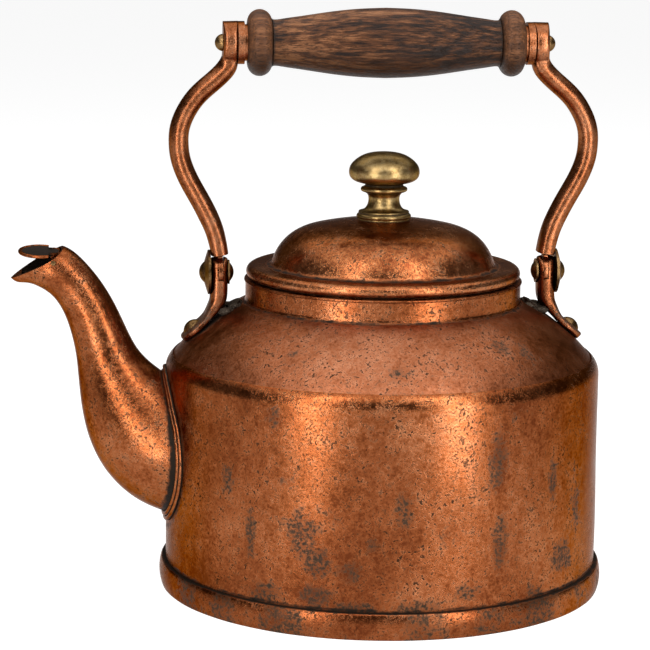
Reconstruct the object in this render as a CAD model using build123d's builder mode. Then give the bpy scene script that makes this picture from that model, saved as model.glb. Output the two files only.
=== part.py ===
from build123d import *
from math import acos, atan2, cos, degrees, hypot, radians, sin, sqrt
import os

# Copper tea kettle with a hinged spout flap, a lift-off lid and a swinging handle.
# Lengths are in millimetres and angles in degrees.
# The origin is on the body's axis at the base, +Z is up and the spout points to -X.

# Sheet and fits
sheet = 1.4
running_gap = 0.06
side_gap = 0.1
seat_gap = 0.3

# Vessel
body_radius = 97.0
base_thickness = 2.0
base_ring_reach = 3.0
base_ring_foot_reach = 2.2
base_ring_height = 11.5
base_ring_lean = 0.9
crease_height = 104.0
crease_rounding = 9.0
crease_turn = 50.0
shoulder_step = 0.5
shoulder_edge_slope = 50.0
shoulder_width = 35.6
shoulder_rise = 23.9
collar_height = 9.9
collar_seat_width = 2.4
collar_bead = 0.6

# Lid
rim_inset = 0.3
rim_bead_radius = 2.8
dome_foot_fillet = 2.9
dome_haunch_radius = 22.6
crown_height = 20.9
crown_edge_radius = 33.0
crown_edge_drop = 3.8
skirt_depth = 12.0
skirt_gap = 0.4

# Knob
knob_flange_radius = 12.1
knob_flange_height = 3.4
knob_stem_radius = 6.9
knob_ring_radius = 10.4
knob_ring_height = 13.6
knob_ring_half = 1.2
knob_edge_bulge = 0.5
knob_waist_pull = 1.8
knob_neck_radius = 8.4
knob_cap_radius = 15.7
knob_cap_height = 21.0
knob_height = 30.2
knob_cap_fullness = 1.4
knob_tang_radius = 3.0
knob_tang_upset = 1.3
knob_washer_radius = 7.0
knob_washer_thickness = 1.2

# Spout: stations of the neck's axis, each reach out from the wall, rise over the crease,
# radius and the climb of its section
spout_stations = (
    (-13.0, -44.0, 30.0, 10.0),
    (-1.0, -40.2, 29.0, 26.0),
    (9.0, -33.0, 26.2, 43.0),
    (20.0, -17.0, 19.6, 58.0),
    (25.9, -2.0, 14.0, 69.0),
    (31.5, 15.3, 11.4, 68.0),
    (37.5, 27.4, 10.5, 54.0),
    (43.3, 34.7, 10.4, 43.0),
    (50.7, 39.8, 10.4, 29.0),
    (56.6, 40.5, 8.8, 13.0),
    (61.8, 38.9, 6.4, 3.0),
    (66.0, 36.5, 3.4, 0.0),
    (68.0, 35.6, 1.0, 0.0),
)
spout_sections = 16
spout_wall = 1.2
bore_share = 0.95
root_widening = 0.06
root_share = 0.3
root_ring_width = 3.6
root_ring_reach = 0.5
root_ring_thickness = 1.6

# Spout mouth and flap: mouth points are reach out from the wall and rise over the crease
mouth_roll = 7.0
mouth_top = (44.6, 48.6)
mouth_corner = (48.6, 45.5)
beak_edge_end = (68.4, 34.5)
flap_pin_radius = 0.7
flap_pin_inset = (-0.6, -1.5)
flap_pin_length = 20.9
flap_radius = 9.8
flap_reach = 15.6
flap_rim = 0.9
flap_sag = 0.7
flap_thickness = 0.9
flap_shoulder = 2.2
flap_heel_width = 8.4
flap_heel_length = 2.6
flap_open_tilt = 1.5
flap_knuckle_radius = 1.6
flap_knuckle_length = 7.6

# Handle: rises are over the pivots, drops are under the grip's axis, and the arms' places are
# from the pivots outwards
pivot_inset = 24.4
pivot_rise = 12.9
grip_rise = 101.4
arm_thickness = 8.8
arm_depth = 12.0
arm_bend_rise = 16.4
arm_bend_radius = 23.0
arm_bulge_corner = (26.4, 63.2)
arm_bulge_radius = 31.3
arm_neck_drop = 10.8
arm_end_drop = 4.8
arm_neck_radius = 5.0
eye_inset = 4.0
eye_thickness = 6.6
eye_radius = 9.4
eye_rounding = 1.4

# Ears
ear_half_width = 7.0
outer_cheek = 3.3
tongue_thickness = 2.2
inner_cheek = 2.0
ear_rounding = 1.6
shoulder_clearance = 0.5
foot_inset = 7.4
foot_width = 18.0
foot_thickness = 3.2
foot_corner_share = 0.46
foot_rivet_inset = 13.6
foot_rivet_radius = 2.2
foot_bend_radius = 9.0
toe_reach = 5.3
toe_thickness = 1.8

# Rivets and washers
pivot_radius = 3.0
pivot_head_radius = 4.7
pivot_head_height = 2.4
pivot_tail_radius = 4.2
pivot_tail_height = 1.9
rose_radius = 9.9
rose_thickness = 2.6
rose_edge = 1.1
rose_top_margin = 0.4
inner_washer_radius = 5.4
inner_washer_thickness = 0.8
foot_head_radius = 4.5
foot_head_height = 2.6
foot_tail_radius = 3.6
foot_tail_height = 1.2
foot_tail_gap = 0.2

# Grip
grip_belly_radius = 15.4
grip_neck_radius = 10.1
grip_neck_inset = 13.6
bead_radius = 14.6
bead_width = 10.8
tie_rod_radius = 3.0
tie_rod_head_radius = 3.8
tie_rod_head_height = 3.4
ferrule_thickness = 4.1
ferrule_radius = 9.4
ferrule_recess_radius = 8.0
ferrule_recess_width = 1.2

os.makedirs("parts", exist_ok=True)


def save(name, part):
    """Label a finished piece and write it under its own name."""
    part.label = name
    export_step(part, f"parts/{name}.step")


def polar(center, radius, angle):
    """Point at a radius and angle from a centre."""
    return (center[0] + radius * cos(radians(angle)), center[1] + radius * sin(radians(angle)))


def arc_band(center, radius, thickness, start, end):
    """Closed band of even thickness between two angles, its outer face at the radius."""
    inner = radius - thickness
    middle = (start + end) / 2
    ThreePointArc(polar(center, radius, start), polar(center, radius, middle), polar(center, radius, end))
    Line(polar(center, radius, end), polar(center, inner, end))
    ThreePointArc(polar(center, inner, end), polar(center, inner, middle), polar(center, inner, start))
    Line(polar(center, inner, start), polar(center, radius, start))


def cap_arc(radius, height, level):
    """Round arc from the rim of a dome to its top on the axis, standing on a level."""
    ball = (radius**2 + height**2) / (2 * abs(height))
    half_angle = 0.5 * atan2(radius, ball - abs(height))
    rise = abs(height) - ball * (1 - cos(half_angle))
    middle = (ball * sin(half_angle), level + (rise if height > 0 else -rise))
    return ThreePointArc((radius, level), middle, (0, level + height))


def domed_rivet(seat, head_radius, head_height, shank_radius, reach, tail_radius, tail_height):
    """Rivet with a domed head on the seat plane, whose normal points out of the head."""
    with BuildPart() as rivet:
        with BuildSketch(Plane.XZ):
            with BuildLine():
                cap_arc(head_radius, head_height, 0)
                Polyline((head_radius, 0), (shank_radius, 0), (shank_radius, -reach), (tail_radius, -reach))
                cap_arc(tail_radius, -tail_height, -reach)
                Line((0, -reach - tail_height), (0, head_height))
            make_face()
        revolve(axis=Axis.Z)
    return rivet.part.moved(seat.location)


# Shared geometry of the vessel
base_ring_radius = body_radius + base_ring_reach
base_ring_foot = body_radius + base_ring_foot_reach
collar_radius = body_radius - shoulder_width
collar_foot_height = crease_height + shoulder_rise
collar_top_height = collar_foot_height + collar_height
crease_center = (body_radius - crease_rounding, crease_height - crease_rounding * sin(radians(crease_turn)))
shoulder_start = polar(crease_center, crease_rounding - shoulder_step, crease_turn)
shoulder_end = (collar_radius, collar_foot_height)
chord = hypot(shoulder_end[0] - shoulder_start[0], shoulder_end[1] - shoulder_start[1])
chord_slope = degrees(atan2(shoulder_end[1] - shoulder_start[1], shoulder_start[0] - shoulder_end[0]))
half_turn = shoulder_edge_slope - chord_slope
shoulder_radius = chord / (2 * sin(radians(half_turn)))
shoulder_angles = (90 - shoulder_edge_slope, 90 - shoulder_edge_slope + 2 * half_turn)
shoulder_center = polar(shoulder_start, shoulder_radius, shoulder_angles[0] + 180)
foot_rivet_angle = degrees(acos((body_radius - foot_rivet_inset - shoulder_center[0]) / shoulder_radius))
foot_rivet_point = polar(shoulder_center, shoulder_radius, foot_rivet_angle)
collar_inner = collar_radius - sheet
arc_overrun = 3.0

# Solid of everything under the shoulder's outer face, used to seat the feet
with BuildPart() as under_shoulder:
    with BuildSketch(Plane.XZ):
        with BuildLine():
            outer = ThreePointArc(
                polar(shoulder_center, shoulder_radius, shoulder_angles[0] - arc_overrun),
                polar(shoulder_center, shoulder_radius, sum(shoulder_angles) / 2),
                polar(shoulder_center, shoulder_radius, shoulder_angles[1] + arc_overrun),
            )
            Polyline(outer @ 1, (0, (outer @ 1).Y), (0, 0), ((outer @ 0).X, 0), outer @ 0)
        make_face()
    revolve(axis=Axis.Z)

# Spout forms: the neck's outside and its bore follow one curve through the stations,
# whose three coordinates are x, radius and z
with BuildLine() as spout_course:
    course = Spline(
        *[(-body_radius - reach, size, crease_height + rise) for reach, rise, size, climb in spout_stations]
    )


def climb_at(reach):
    """Climb of the neck's section at a reach out from the wall, between its stations."""
    for (before, _, _, climb0), (after, _, _, climb1) in zip(spout_stations, spout_stations[1:]):
        if reach <= after:
            return climb0 + (climb1 - climb0) * (reach - before) / (after - before)
    return spout_stations[-1][3]


def neck(growth, last=1.0):
    """Loft of round sections across the spout's axis, grown or shrunk, and wider at the root."""
    with BuildPart() as tube:
        for index in range(spout_sections):
            station = last * index / (spout_sections - 1)
            point = course.position_at(station)
            climb = radians(climb_at(-body_radius - point.X))
            across = (-cos(climb), 0, sin(climb))
            section = Plane(origin=(point.X, 0, point.Z), x_dir=(0, 1, 0), z_dir=across)
            widening = 1 + root_widening * max(0, 1 - station / root_share)
            with BuildSketch(section):
                Ellipse(point.Y * widening + growth, point.Y + growth)
        loft()
    return tube.part


neck_outside = neck(0.0)
neck_bore = neck(-spout_wall, bore_share)

# Vessel

with BuildPart() as base_plate:
    with BuildSketch():
        Circle(body_radius)
    extrude(amount=base_thickness)
save("base_plate", base_plate.part)

with BuildPart() as base_ring:
    with BuildSketch(Plane.XZ):
        with BuildLine():
            Polyline(
                (base_ring_foot, 0),
                (body_radius, 0),
                (body_radius, base_ring_height),
                (base_ring_foot, base_ring_height - base_ring_lean),
            )
            ThreePointArc(
                (base_ring_foot, base_ring_height - base_ring_lean),
                (base_ring_radius, base_ring_height / 2),
                (base_ring_foot, 0),
            )
        make_face()
    revolve(axis=Axis.Z)
save("base_ring", base_ring.part)

with BuildPart() as body_wall:
    with BuildSketch(Plane.XZ):
        with BuildLine():
            arc_band(crease_center, crease_rounding, sheet, 0, crease_turn)
        make_face()
        with BuildLine():
            Polyline(
                (body_radius, base_thickness),
                (body_radius, crease_center[1]),
                (body_radius - sheet, crease_center[1]),
                (body_radius - sheet, base_thickness),
                close=True,
            )
        make_face()
    revolve(axis=Axis.Z)
    add(neck_bore, mode=Mode.SUBTRACT)
save("body_wall", body_wall.part)

with BuildPart() as shoulder:
    with BuildSketch(Plane.XZ):
        with BuildLine():
            arc_band(shoulder_center, shoulder_radius, sheet, *shoulder_angles)
        make_face()
    revolve(axis=Axis.Z)
    for side in (-1, 1):
        rivet_way = (side * cos(radians(foot_rivet_angle)), 0, sin(radians(foot_rivet_angle)))
        with BuildSketch(Plane(origin=(side * foot_rivet_point[0], 0, foot_rivet_point[1]), z_dir=rivet_way)):
            Circle(foot_rivet_radius)
        extrude(amount=3 * sheet, both=True, mode=Mode.SUBTRACT)
save("shoulder", shoulder.part)

with BuildPart() as collar:
    lower_edge = polar(shoulder_center, shoulder_radius - sheet, shoulder_angles[1])
    with BuildSketch(Plane.XZ):
        with BuildLine():
            lip = ThreePointArc(
                (collar_radius, collar_top_height - 2 * collar_bead),
                (collar_radius + collar_bead, collar_top_height - collar_bead),
                (collar_radius, collar_top_height),
            )
            Polyline(
                lip @ 1,
                (collar_inner - collar_seat_width, collar_top_height),
                (collar_inner - collar_seat_width, collar_top_height - sheet),
                (collar_inner, collar_top_height - sheet),
                (collar_inner, lower_edge[1]),
                lower_edge,
                shoulder_end,
                lip @ 0,
            )
        make_face()
    revolve(axis=Axis.Z)
save("collar", collar.part)

# Lid

bead_height = collar_top_height + seat_gap + rim_bead_radius
rim_top = bead_height + rim_bead_radius
bead_center = (collar_radius - rim_inset - rim_bead_radius, bead_height)
crown_top = rim_top + crown_height
crown_radius = (crown_edge_radius**2 + crown_edge_drop**2) / (2 * crown_edge_drop)
crown_edge_angle = degrees(acos(crown_edge_radius / crown_radius))
crown_center = (0, crown_top - crown_radius)
haunch_center = polar(crown_center, crown_radius - dome_haunch_radius, crown_edge_angle)
foot_fillet_height = rim_top + dome_foot_fillet
haunch_reach = dome_haunch_radius + dome_foot_fillet
haunch_drop = foot_fillet_height - haunch_center[1]
haunch_foot_angle = degrees(atan2(haunch_drop, sqrt(haunch_reach**2 - haunch_drop**2)))
foot_fillet_center = polar(haunch_center, haunch_reach, haunch_foot_angle)

with BuildPart() as lid_shell:
    with BuildSketch(Plane.XZ):
        with BuildLine():
            arc_band(crown_center, crown_radius, sheet, crown_edge_angle, 90)
        make_face()
        with BuildLine():
            arc_band(haunch_center, dome_haunch_radius, sheet, haunch_foot_angle, crown_edge_angle)
        make_face()
        with BuildLine():
            arc_band(foot_fillet_center, dome_foot_fillet + sheet, sheet, haunch_foot_angle + 180, 270)
        make_face()
        with BuildLine():
            Polyline(
                (foot_fillet_center[0], rim_top),
                (bead_center[0], rim_top),
                (bead_center[0], rim_top - sheet),
                (foot_fillet_center[0], rim_top - sheet),
                close=True,
            )
        make_face()
        with Locations(bead_center):
            Circle(rim_bead_radius)
    revolve(axis=Axis.Z)
    with BuildSketch(Plane.XY.offset(crown_top - crown_edge_drop)):
        Circle(knob_tang_radius)
    extrude(amount=2 * crown_edge_drop, mode=Mode.SUBTRACT)
save("lid_shell", lid_shell.part)

skirt_radius = collar_inner - collar_seat_width - skirt_gap
skirt_bottom = bead_height - rim_bead_radius - skirt_depth
with BuildPart() as lid_skirt:
    with BuildSketch(Plane.XY.offset(skirt_bottom)):
        Circle(skirt_radius)
        Circle(skirt_radius - sheet, mode=Mode.SUBTRACT)
    extrude(amount=bead_height - skirt_bottom)
    with BuildSketch(Plane.XZ):
        with Locations(bead_center):
            Circle(rim_bead_radius)
    revolve(axis=Axis.Z, mode=Mode.SUBTRACT)
save("lid_skirt", lid_skirt.part)

# Knob

knob_base = crown_center[1] + sqrt(crown_radius**2 - knob_flange_radius**2)
crown_underside = crown_center[1] + sqrt((crown_radius - sheet) ** 2 - knob_washer_radius**2)
tang_shoulder = crown_underside - knob_washer_thickness
flange_top = knob_base + knob_flange_height
ring_center = knob_base + knob_ring_height
cap_edge = knob_base + knob_cap_height
knob_top = knob_base + knob_height
with BuildPart() as knob:
    with BuildSketch(Plane.XZ):
        with BuildLine():
            seat_middle = 90 - 0.5 * degrees(knob_flange_radius / crown_radius)
            seat_arc = ThreePointArc(
                (0, crown_top),
                polar(crown_center, crown_radius, seat_middle),
                (knob_flange_radius, knob_base),
            )
            edge = ThreePointArc(
                seat_arc @ 1,
                (knob_flange_radius + knob_edge_bulge, (knob_base + flange_top) / 2),
                (knob_flange_radius - knob_edge_bulge, flange_top),
            )
            stem = Bezier(
                edge @ 1,
                (knob_stem_radius, flange_top),
                (knob_stem_radius - knob_waist_pull, (flange_top + ring_center) / 2 + knob_ring_half),
                (knob_ring_radius - knob_edge_bulge, ring_center - knob_ring_half),
            )
            ring = ThreePointArc(
                stem @ 1,
                (knob_ring_radius, ring_center),
                (knob_ring_radius - knob_edge_bulge, ring_center + knob_ring_half),
            )
            neck_end = (knob_neck_radius + knob_edge_bulge, ring_center + 2 * knob_ring_half)
            hollow = Line(ring @ 1, (knob_neck_radius, ring_center + 1.5 * knob_ring_half))
            under_cap = ThreePointArc(
                hollow @ 1,
                ((knob_neck_radius + knob_cap_radius) / 2 + knob_cap_fullness, (neck_end[1] + cap_edge) / 2),
                (knob_cap_radius, cap_edge),
            )
            cap = Bezier(
                under_cap @ 1,
                (knob_cap_radius, (cap_edge + knob_top) / 2),
                (knob_cap_radius / 2, knob_top),
                (0, knob_top),
            )
            Line(cap @ 1, (0, crown_top))
        make_face()
    revolve(axis=Axis.Z)
    with BuildSketch(Plane.XY.offset(tang_shoulder)):
        Circle(knob_tang_radius)
    extrude(amount=crown_top - tang_shoulder)
    with BuildSketch(Plane.XY.offset(tang_shoulder)):
        Circle(knob_tang_radius + knob_tang_upset)
    extrude(amount=-knob_tang_upset)
save("knob", knob.part)

with BuildPart() as knob_washer:
    with BuildSketch(Plane.XY.offset(tang_shoulder)):
        Circle(knob_washer_radius)
        Circle(knob_tang_radius, mode=Mode.SUBTRACT)
    extrude(amount=knob_washer_thickness)
save("knob_washer", knob_washer.part)

# Spout

edge_run = beak_edge_end[0] - mouth_corner[0]
edge_drop = mouth_corner[1] - beak_edge_end[1]
mouth_slope = degrees(atan2(edge_drop, edge_run))
roll = radians(mouth_roll)
mouth_plane = Plane(
    origin=(-body_radius - mouth_corner[0], 0, crease_height + mouth_corner[1]),
    x_dir=(1, 0, 0),
    z_dir=(0, -cos(roll), -sin(roll)),
)
flap_plane = Plane(
    origin=mouth_plane.from_local_coords((flap_pin_inset[0], flap_pin_inset[1], 0)),
    x_dir=(1, 0, 0),
    z_dir=(0, -cos(roll), -sin(roll)),
)

with BuildPart() as spout:
    add(neck_outside)
    add(neck_bore, mode=Mode.SUBTRACT)
    with BuildSketch():
        Circle(body_radius)
    extrude(amount=crease_height, mode=Mode.SUBTRACT)
    with BuildSketch(mouth_plane):
        with BuildLine():
            rim_run = mouth_corner[0] - mouth_top[0]
            rim_rise = mouth_top[1] - mouth_corner[1]
            Polyline(
                (3 * rim_run, 3 * rim_rise),
                (0, 0),
                (-edge_run, -edge_drop),
                (-2 * edge_run, -edge_drop),
                (-2 * edge_run, 3 * rim_rise),
                close=True,
            )
        make_face()
    extrude(amount=2 * flap_radius, both=True, mode=Mode.SUBTRACT)
    with BuildSketch(flap_plane):
        Circle(flap_pin_radius)
    extrude(amount=2 * flap_radius, both=True, mode=Mode.SUBTRACT)
save("spout", spout.part)

with BuildPart() as spout_root_ring:
    add(neck(root_ring_width, root_ring_reach))
    with BuildSketch():
        Circle(body_radius + root_ring_thickness)
    extrude(amount=crease_height, mode=Mode.INTERSECT)
    with BuildSketch():
        Circle(body_radius)
    extrude(amount=crease_height, mode=Mode.SUBTRACT)
    add(neck_outside, mode=Mode.SUBTRACT)
save("spout_root_ring", spout_root_ring.part)

# Spout flap: a round dished leaf whose heel passes between the spout's walls at the pin

flap_center = flap_reach - flap_radius
closed_rise = -flap_pin_inset[1] * cos(radians(mouth_slope)) + flap_pin_inset[0] * sin(radians(mouth_slope))
flap_underside = closed_rise + seat_gap
pin_line = Axis((0, 0, 0), (0, cos(roll), sin(roll)))
leaf_plane = Plane(
    origin=flap_plane.origin,
    x_dir=Vector(1, 0, 0).rotate(pin_line, flap_open_tilt),
    z_dir=Vector(0, -sin(roll), cos(roll)).rotate(pin_line, flap_open_tilt),
)

with BuildPart() as flap_leaf:
    with BuildSketch(Plane.XZ):
        with BuildLine():
            dish_radius = flap_radius - flap_rim
            Line((0, -flap_sag), (0, flap_thickness - flap_sag))
            cap_arc(dish_radius, -flap_sag, flap_thickness)
            Polyline(
                (dish_radius, flap_thickness),
                (flap_radius, flap_thickness),
                (flap_radius, 0),
                (dish_radius, 0),
            )
            cap_arc(dish_radius, -flap_sag, 0)
        make_face()
    revolve(axis=Axis.Z)
    with BuildSketch():
        with Locations((flap_center - flap_shoulder + 1.5 * flap_radius, 0)):
            Rectangle(3 * flap_radius, 3 * flap_radius)
        with Locations((flap_center, 0)):
            Rectangle(2 * flap_heel_length, flap_heel_width, mode=Mode.SUBTRACT)
    extrude(amount=2 * flap_radius, both=True, mode=Mode.SUBTRACT)

with BuildPart() as spout_flap:
    add(flap_leaf.part.moved(Location((-flap_center, 0, flap_underside))))
    with BuildSketch(Plane.XZ):
        Circle(flap_knuckle_radius)
    extrude(amount=flap_knuckle_length / 2, both=True)
    with BuildSketch(Plane.XZ):
        Circle(flap_pin_radius + running_gap)
    extrude(amount=flap_knuckle_length, both=True, mode=Mode.SUBTRACT)
save("spout_flap", spout_flap.part.moved(leaf_plane.location))

with BuildPart() as flap_pin:
    with BuildSketch(flap_plane):
        Circle(flap_pin_radius)
    extrude(amount=flap_pin_length / 2, both=True)
    for side in (-1, 1):
        with BuildSketch(flap_plane.offset(side * flap_pin_length / 2)):
            Circle(1.5 * flap_pin_radius)
        extrude(amount=side * flap_pin_radius)
save("flap_pin", flap_pin.part)

# Ears and handle, the same on both sides

pivot_x = body_radius - pivot_inset
pivot_height = collar_foot_height + pivot_rise
grip_height = pivot_height + grip_rise
eye_x = pivot_x - eye_inset
eye_inner = eye_x - eye_thickness / 2
eye_outer = eye_x + eye_thickness / 2
grip_half_length = eye_inner - ferrule_thickness - side_gap
slot_outer = pivot_x + tongue_thickness / 2 + side_gap
slot_inner = pivot_x - tongue_thickness / 2 - side_gap
ear_outer = slot_outer + outer_cheek
ear_inner = slot_inner - inner_cheek
slot_bottom = pivot_height - ear_half_width - shoulder_clearance
arm_shoulder = pivot_height + ear_half_width + shoulder_clearance
foot_end = body_radius - foot_inset


def rounded_slab(side, inner, outer, rounding, low, center_height, half_width):
    """Slab across X with a rounded top round a centre, and its edges rounded on both faces."""
    with BuildPart() as slab:
        with BuildSketch(Plane.YZ.offset(side * inner)):
            with Locations((0, center_height)):
                Circle(half_width)
            if low < center_height - half_width:
                with Locations((0, (center_height + low) / 2)):
                    Rectangle(2 * half_width, center_height - low)
        extrude(amount=side * (outer - inner))
        faces = slab.faces().filter_by(Axis.X).sort_by(Axis.X)
        fillet(faces[0].edges() + faces[-1].edges(), radius=rounding)
    return slab.part


def foot_shell(thickness, center_x, length, width):
    """Strap of even thickness lying on the shoulder, with a rounded end, in plan about X."""
    with BuildPart() as foot:
        with BuildSketch(Plane.XZ):
            with BuildLine():
                arc_band(shoulder_center, shoulder_radius + thickness, thickness, *shoulder_angles)
            make_face()
        revolve(axis=Axis.Z)
        with BuildSketch():
            with Locations((center_x, 0)):
                RectangleRounded(length, width, foot_corner_share * min(length, width))
        extrude(amount=2 * crease_height, mode=Mode.INTERSECT)
    return foot.part


for side, hand in ((-1, "left"), (1, "right")):
    pivot_line = Plane(origin=(0, 0, pivot_height), x_dir=(0, 1, 0), z_dir=(side, 0, 0))
    grip_line = Plane(origin=(0, 0, grip_height), x_dir=(0, 1, 0), z_dir=(side, 0, 0))
    rivet_normal = (side * cos(radians(foot_rivet_angle)), 0, sin(radians(foot_rivet_angle)))
    rivet_root = Plane(origin=(side * foot_rivet_point[0], 0, foot_rivet_point[1]), z_dir=rivet_normal)
    strap_length = foot_end - pivot_x

    with BuildPart() as ear:
        add(foot_shell(foot_thickness, side * pivot_x, 2 * strap_length, foot_width))
        with BuildSketch():
            with Locations((side * pivot_x / 2, 0)):
                Rectangle(pivot_x, 2 * foot_width)
        extrude(amount=2 * crease_height, mode=Mode.SUBTRACT)
        bar_faces = (side, ear_inner, ear_outer)
        add(rounded_slab(*bar_faces, ear_rounding, crease_height, pivot_height, ear_half_width))
        with BuildSketch(Plane.XZ):
            with BuildLine():
                bend_foot = polar(shoulder_center, shoulder_radius + foot_thickness, foot_rivet_angle)
                bend_top = (ear_outer - ear_rounding, bend_foot[1] + 2 * foot_bend_radius)
                bend_low = (ear_outer - ear_rounding, crease_height)
                Bezier(
                    (side * bend_top[0], bend_top[1]),
                    (side * bend_top[0], bend_foot[1] + foot_bend_radius / 2),
                    (side * bend_foot[0], bend_foot[1]),
                )
                Polyline(
                    (side * bend_foot[0], bend_foot[1]),
                    (side * bend_low[0], bend_low[1]),
                    (side * bend_top[0], bend_top[1]),
                )
            make_face()
        extrude(amount=ear_half_width - ear_rounding, both=True)
        add(under_shoulder.part, mode=Mode.SUBTRACT)
        with BuildSketch(Plane.YZ.offset(side * slot_inner)):
            with Locations((0, slot_bottom + 2 * ear_half_width)):
                Rectangle(4 * ear_half_width, 4 * ear_half_width)
        extrude(amount=side * (slot_outer - slot_inner), mode=Mode.SUBTRACT)
        with BuildSketch(pivot_line):
            Circle(pivot_radius)
        extrude(amount=base_ring_radius, mode=Mode.SUBTRACT)
        with BuildSketch(rivet_root):
            Circle(foot_rivet_radius)
        extrude(amount=3 * foot_thickness, both=True, mode=Mode.SUBTRACT)
    save(f"{hand}_ear", ear.part)

    with BuildPart() as stay:
        add(foot_shell(toe_thickness, side * ear_inner, 2 * toe_reach, 2 * ear_half_width))
        add(under_shoulder.part, mode=Mode.SUBTRACT)
        add(ear.part, mode=Mode.SUBTRACT)
        with BuildSketch():
            with Locations((side * (ear_inner + toe_reach), 0)):
                Rectangle(2 * toe_reach, 4 * ear_half_width)
        extrude(amount=2 * crease_height, mode=Mode.SUBTRACT)
    save(f"{hand}_stay", stay.part)

    with BuildPart() as rose:
        with BuildSketch(Plane.XZ):
            with BuildLine():
                Polyline(
                    (pivot_radius, 0),
                    (rose_radius, 0),
                    (rose_radius, rose_edge),
                    (pivot_head_radius + rose_top_margin, rose_thickness),
                    (pivot_radius, rose_thickness),
                    close=True,
                )
            make_face()
        revolve(axis=Axis.Z)
    save(f"{hand}_rose_washer", rose.part.moved(pivot_line.offset(ear_outer).location))

    with BuildPart() as ring:
        with BuildSketch():
            Circle(inner_washer_radius)
            Circle(pivot_radius, mode=Mode.SUBTRACT)
        extrude(amount=inner_washer_thickness)
    washer_inner = ear_inner - inner_washer_thickness
    save(f"{hand}_inner_washer", ring.part.moved(pivot_line.offset(washer_inner).location))

    save(
        f"{hand}_pivot_rivet",
        domed_rivet(
            pivot_line.offset(ear_outer + rose_thickness),
            pivot_head_radius,
            pivot_head_height,
            pivot_radius,
            ear_outer + rose_thickness - washer_inner,
            pivot_tail_radius,
            pivot_tail_height,
        ),
    )
    save(
        f"{hand}_foot_rivet",
        domed_rivet(
            rivet_root.offset(foot_thickness),
            foot_head_radius,
            foot_head_height,
            foot_rivet_radius,
            foot_thickness + sheet + foot_tail_gap,
            foot_tail_radius,
            foot_tail_height,
        ),
    )

    with BuildPart() as arm:
        with BuildLine(Plane.XZ) as bow:
            FilletPolyline(
                (side * pivot_x, arm_shoulder),
                (side * pivot_x, pivot_height + arm_bend_rise),
                (side * (pivot_x + arm_bulge_corner[0]), pivot_height + arm_bulge_corner[1]),
                (side * eye_x, grip_height - arm_neck_drop),
                (side * eye_x, grip_height - arm_end_drop),
                radius=[arm_bend_radius, arm_bulge_radius, arm_neck_radius],
            )
        rod_start = Plane(origin=(side * pivot_x, 0, arm_shoulder), x_dir=(1, 0, 0), z_dir=(0, 0, 1))
        with BuildSketch(rod_start):
            Ellipse(arm_thickness / 2, arm_depth / 2)
        sweep(path=bow.wires()[0])
        with BuildSketch(grip_line):
            Circle(2 * eye_radius)
        extrude(amount=eye_inner, mode=Mode.SUBTRACT)
        add(rounded_slab(side, eye_inner, eye_outer, eye_rounding, grip_height, grip_height, eye_radius))
        with BuildSketch(Plane.YZ.offset(side * (pivot_x - tongue_thickness / 2))):
            with Locations((0, pivot_height)):
                Circle(ear_half_width)
            with Locations((0, pivot_height + ear_half_width)):
                Rectangle(arm_depth, 2 * ear_half_width)
        extrude(amount=side * tongue_thickness)
        with BuildSketch(pivot_line):
            Circle(pivot_radius + running_gap)
        extrude(amount=base_ring_radius, mode=Mode.SUBTRACT)
        with BuildSketch(grip_line):
            Circle(tie_rod_radius)
        extrude(amount=base_ring_radius, mode=Mode.SUBTRACT)
    save(f"{hand}_arm", arm.part)

    ferrule_inner = grip_half_length + side_gap
    with BuildPart() as ferrule:
        with BuildSketch(Plane.XZ):
            with BuildLine():
                Polyline(
                    (tie_rod_radius, ferrule_inner),
                    (ferrule_recess_radius, ferrule_inner),
                    (ferrule_recess_radius, ferrule_inner + ferrule_recess_width),
                    (ferrule_radius, ferrule_inner + ferrule_recess_width),
                    (ferrule_radius, eye_inner),
                    (tie_rod_radius, eye_inner),
                    close=True,
                )
            make_face()
        revolve(axis=Axis.Z)
    save(f"{hand}_ferrule", ferrule.part.moved(grip_line.location))

# Grip and its tie rod, turned round Z and then laid along X

bead_x = grip_half_length - bead_width / 2
bead_foot = grip_half_length - bead_width
bead_center_radius = bead_radius - bead_width / 2
grip_neck_x = grip_half_length - grip_neck_inset
with BuildPart() as grip:
    with BuildSketch(Plane.XZ):
        with BuildLine():
            Line((0, -grip_half_length), (bead_center_radius, -grip_half_length))
            low_bead = ThreePointArc(
                (bead_center_radius, -grip_half_length),
                (bead_radius, -bead_x),
                (bead_center_radius, -bead_foot),
            )
            Polyline(low_bead @ 1, (grip_neck_radius, -bead_foot), (grip_neck_radius, -grip_neck_x))
            ThreePointArc(
                (grip_neck_radius, -grip_neck_x),
                (grip_belly_radius, 0),
                (grip_neck_radius, grip_neck_x),
            )
            Polyline(
                (grip_neck_radius, grip_neck_x),
                (grip_neck_radius, bead_foot),
                (bead_center_radius, bead_foot),
            )
            high_bead = ThreePointArc(
                (bead_center_radius, bead_foot),
                (bead_radius, bead_x),
                (bead_center_radius, grip_half_length),
            )
            Polyline(high_bead @ 1, (0, grip_half_length), (0, -grip_half_length))
        make_face()
    revolve(axis=Axis.Z)
    with BuildSketch(Plane.XY.offset(-grip_half_length)):
        Circle(tie_rod_radius + running_gap)
    extrude(amount=2 * grip_half_length, mode=Mode.SUBTRACT)
along_x = Plane(origin=(0, 0, grip_height), x_dir=(0, 1, 0), z_dir=(1, 0, 0))
save("grip", grip.part.moved(along_x.location))

save(
    "tie_rod",
    domed_rivet(
        along_x.offset(eye_outer),
        tie_rod_head_radius,
        tie_rod_head_height,
        tie_rod_radius,
        2 * eye_outer,
        tie_rod_head_radius,
        tie_rod_head_height,
    ),
)
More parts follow.
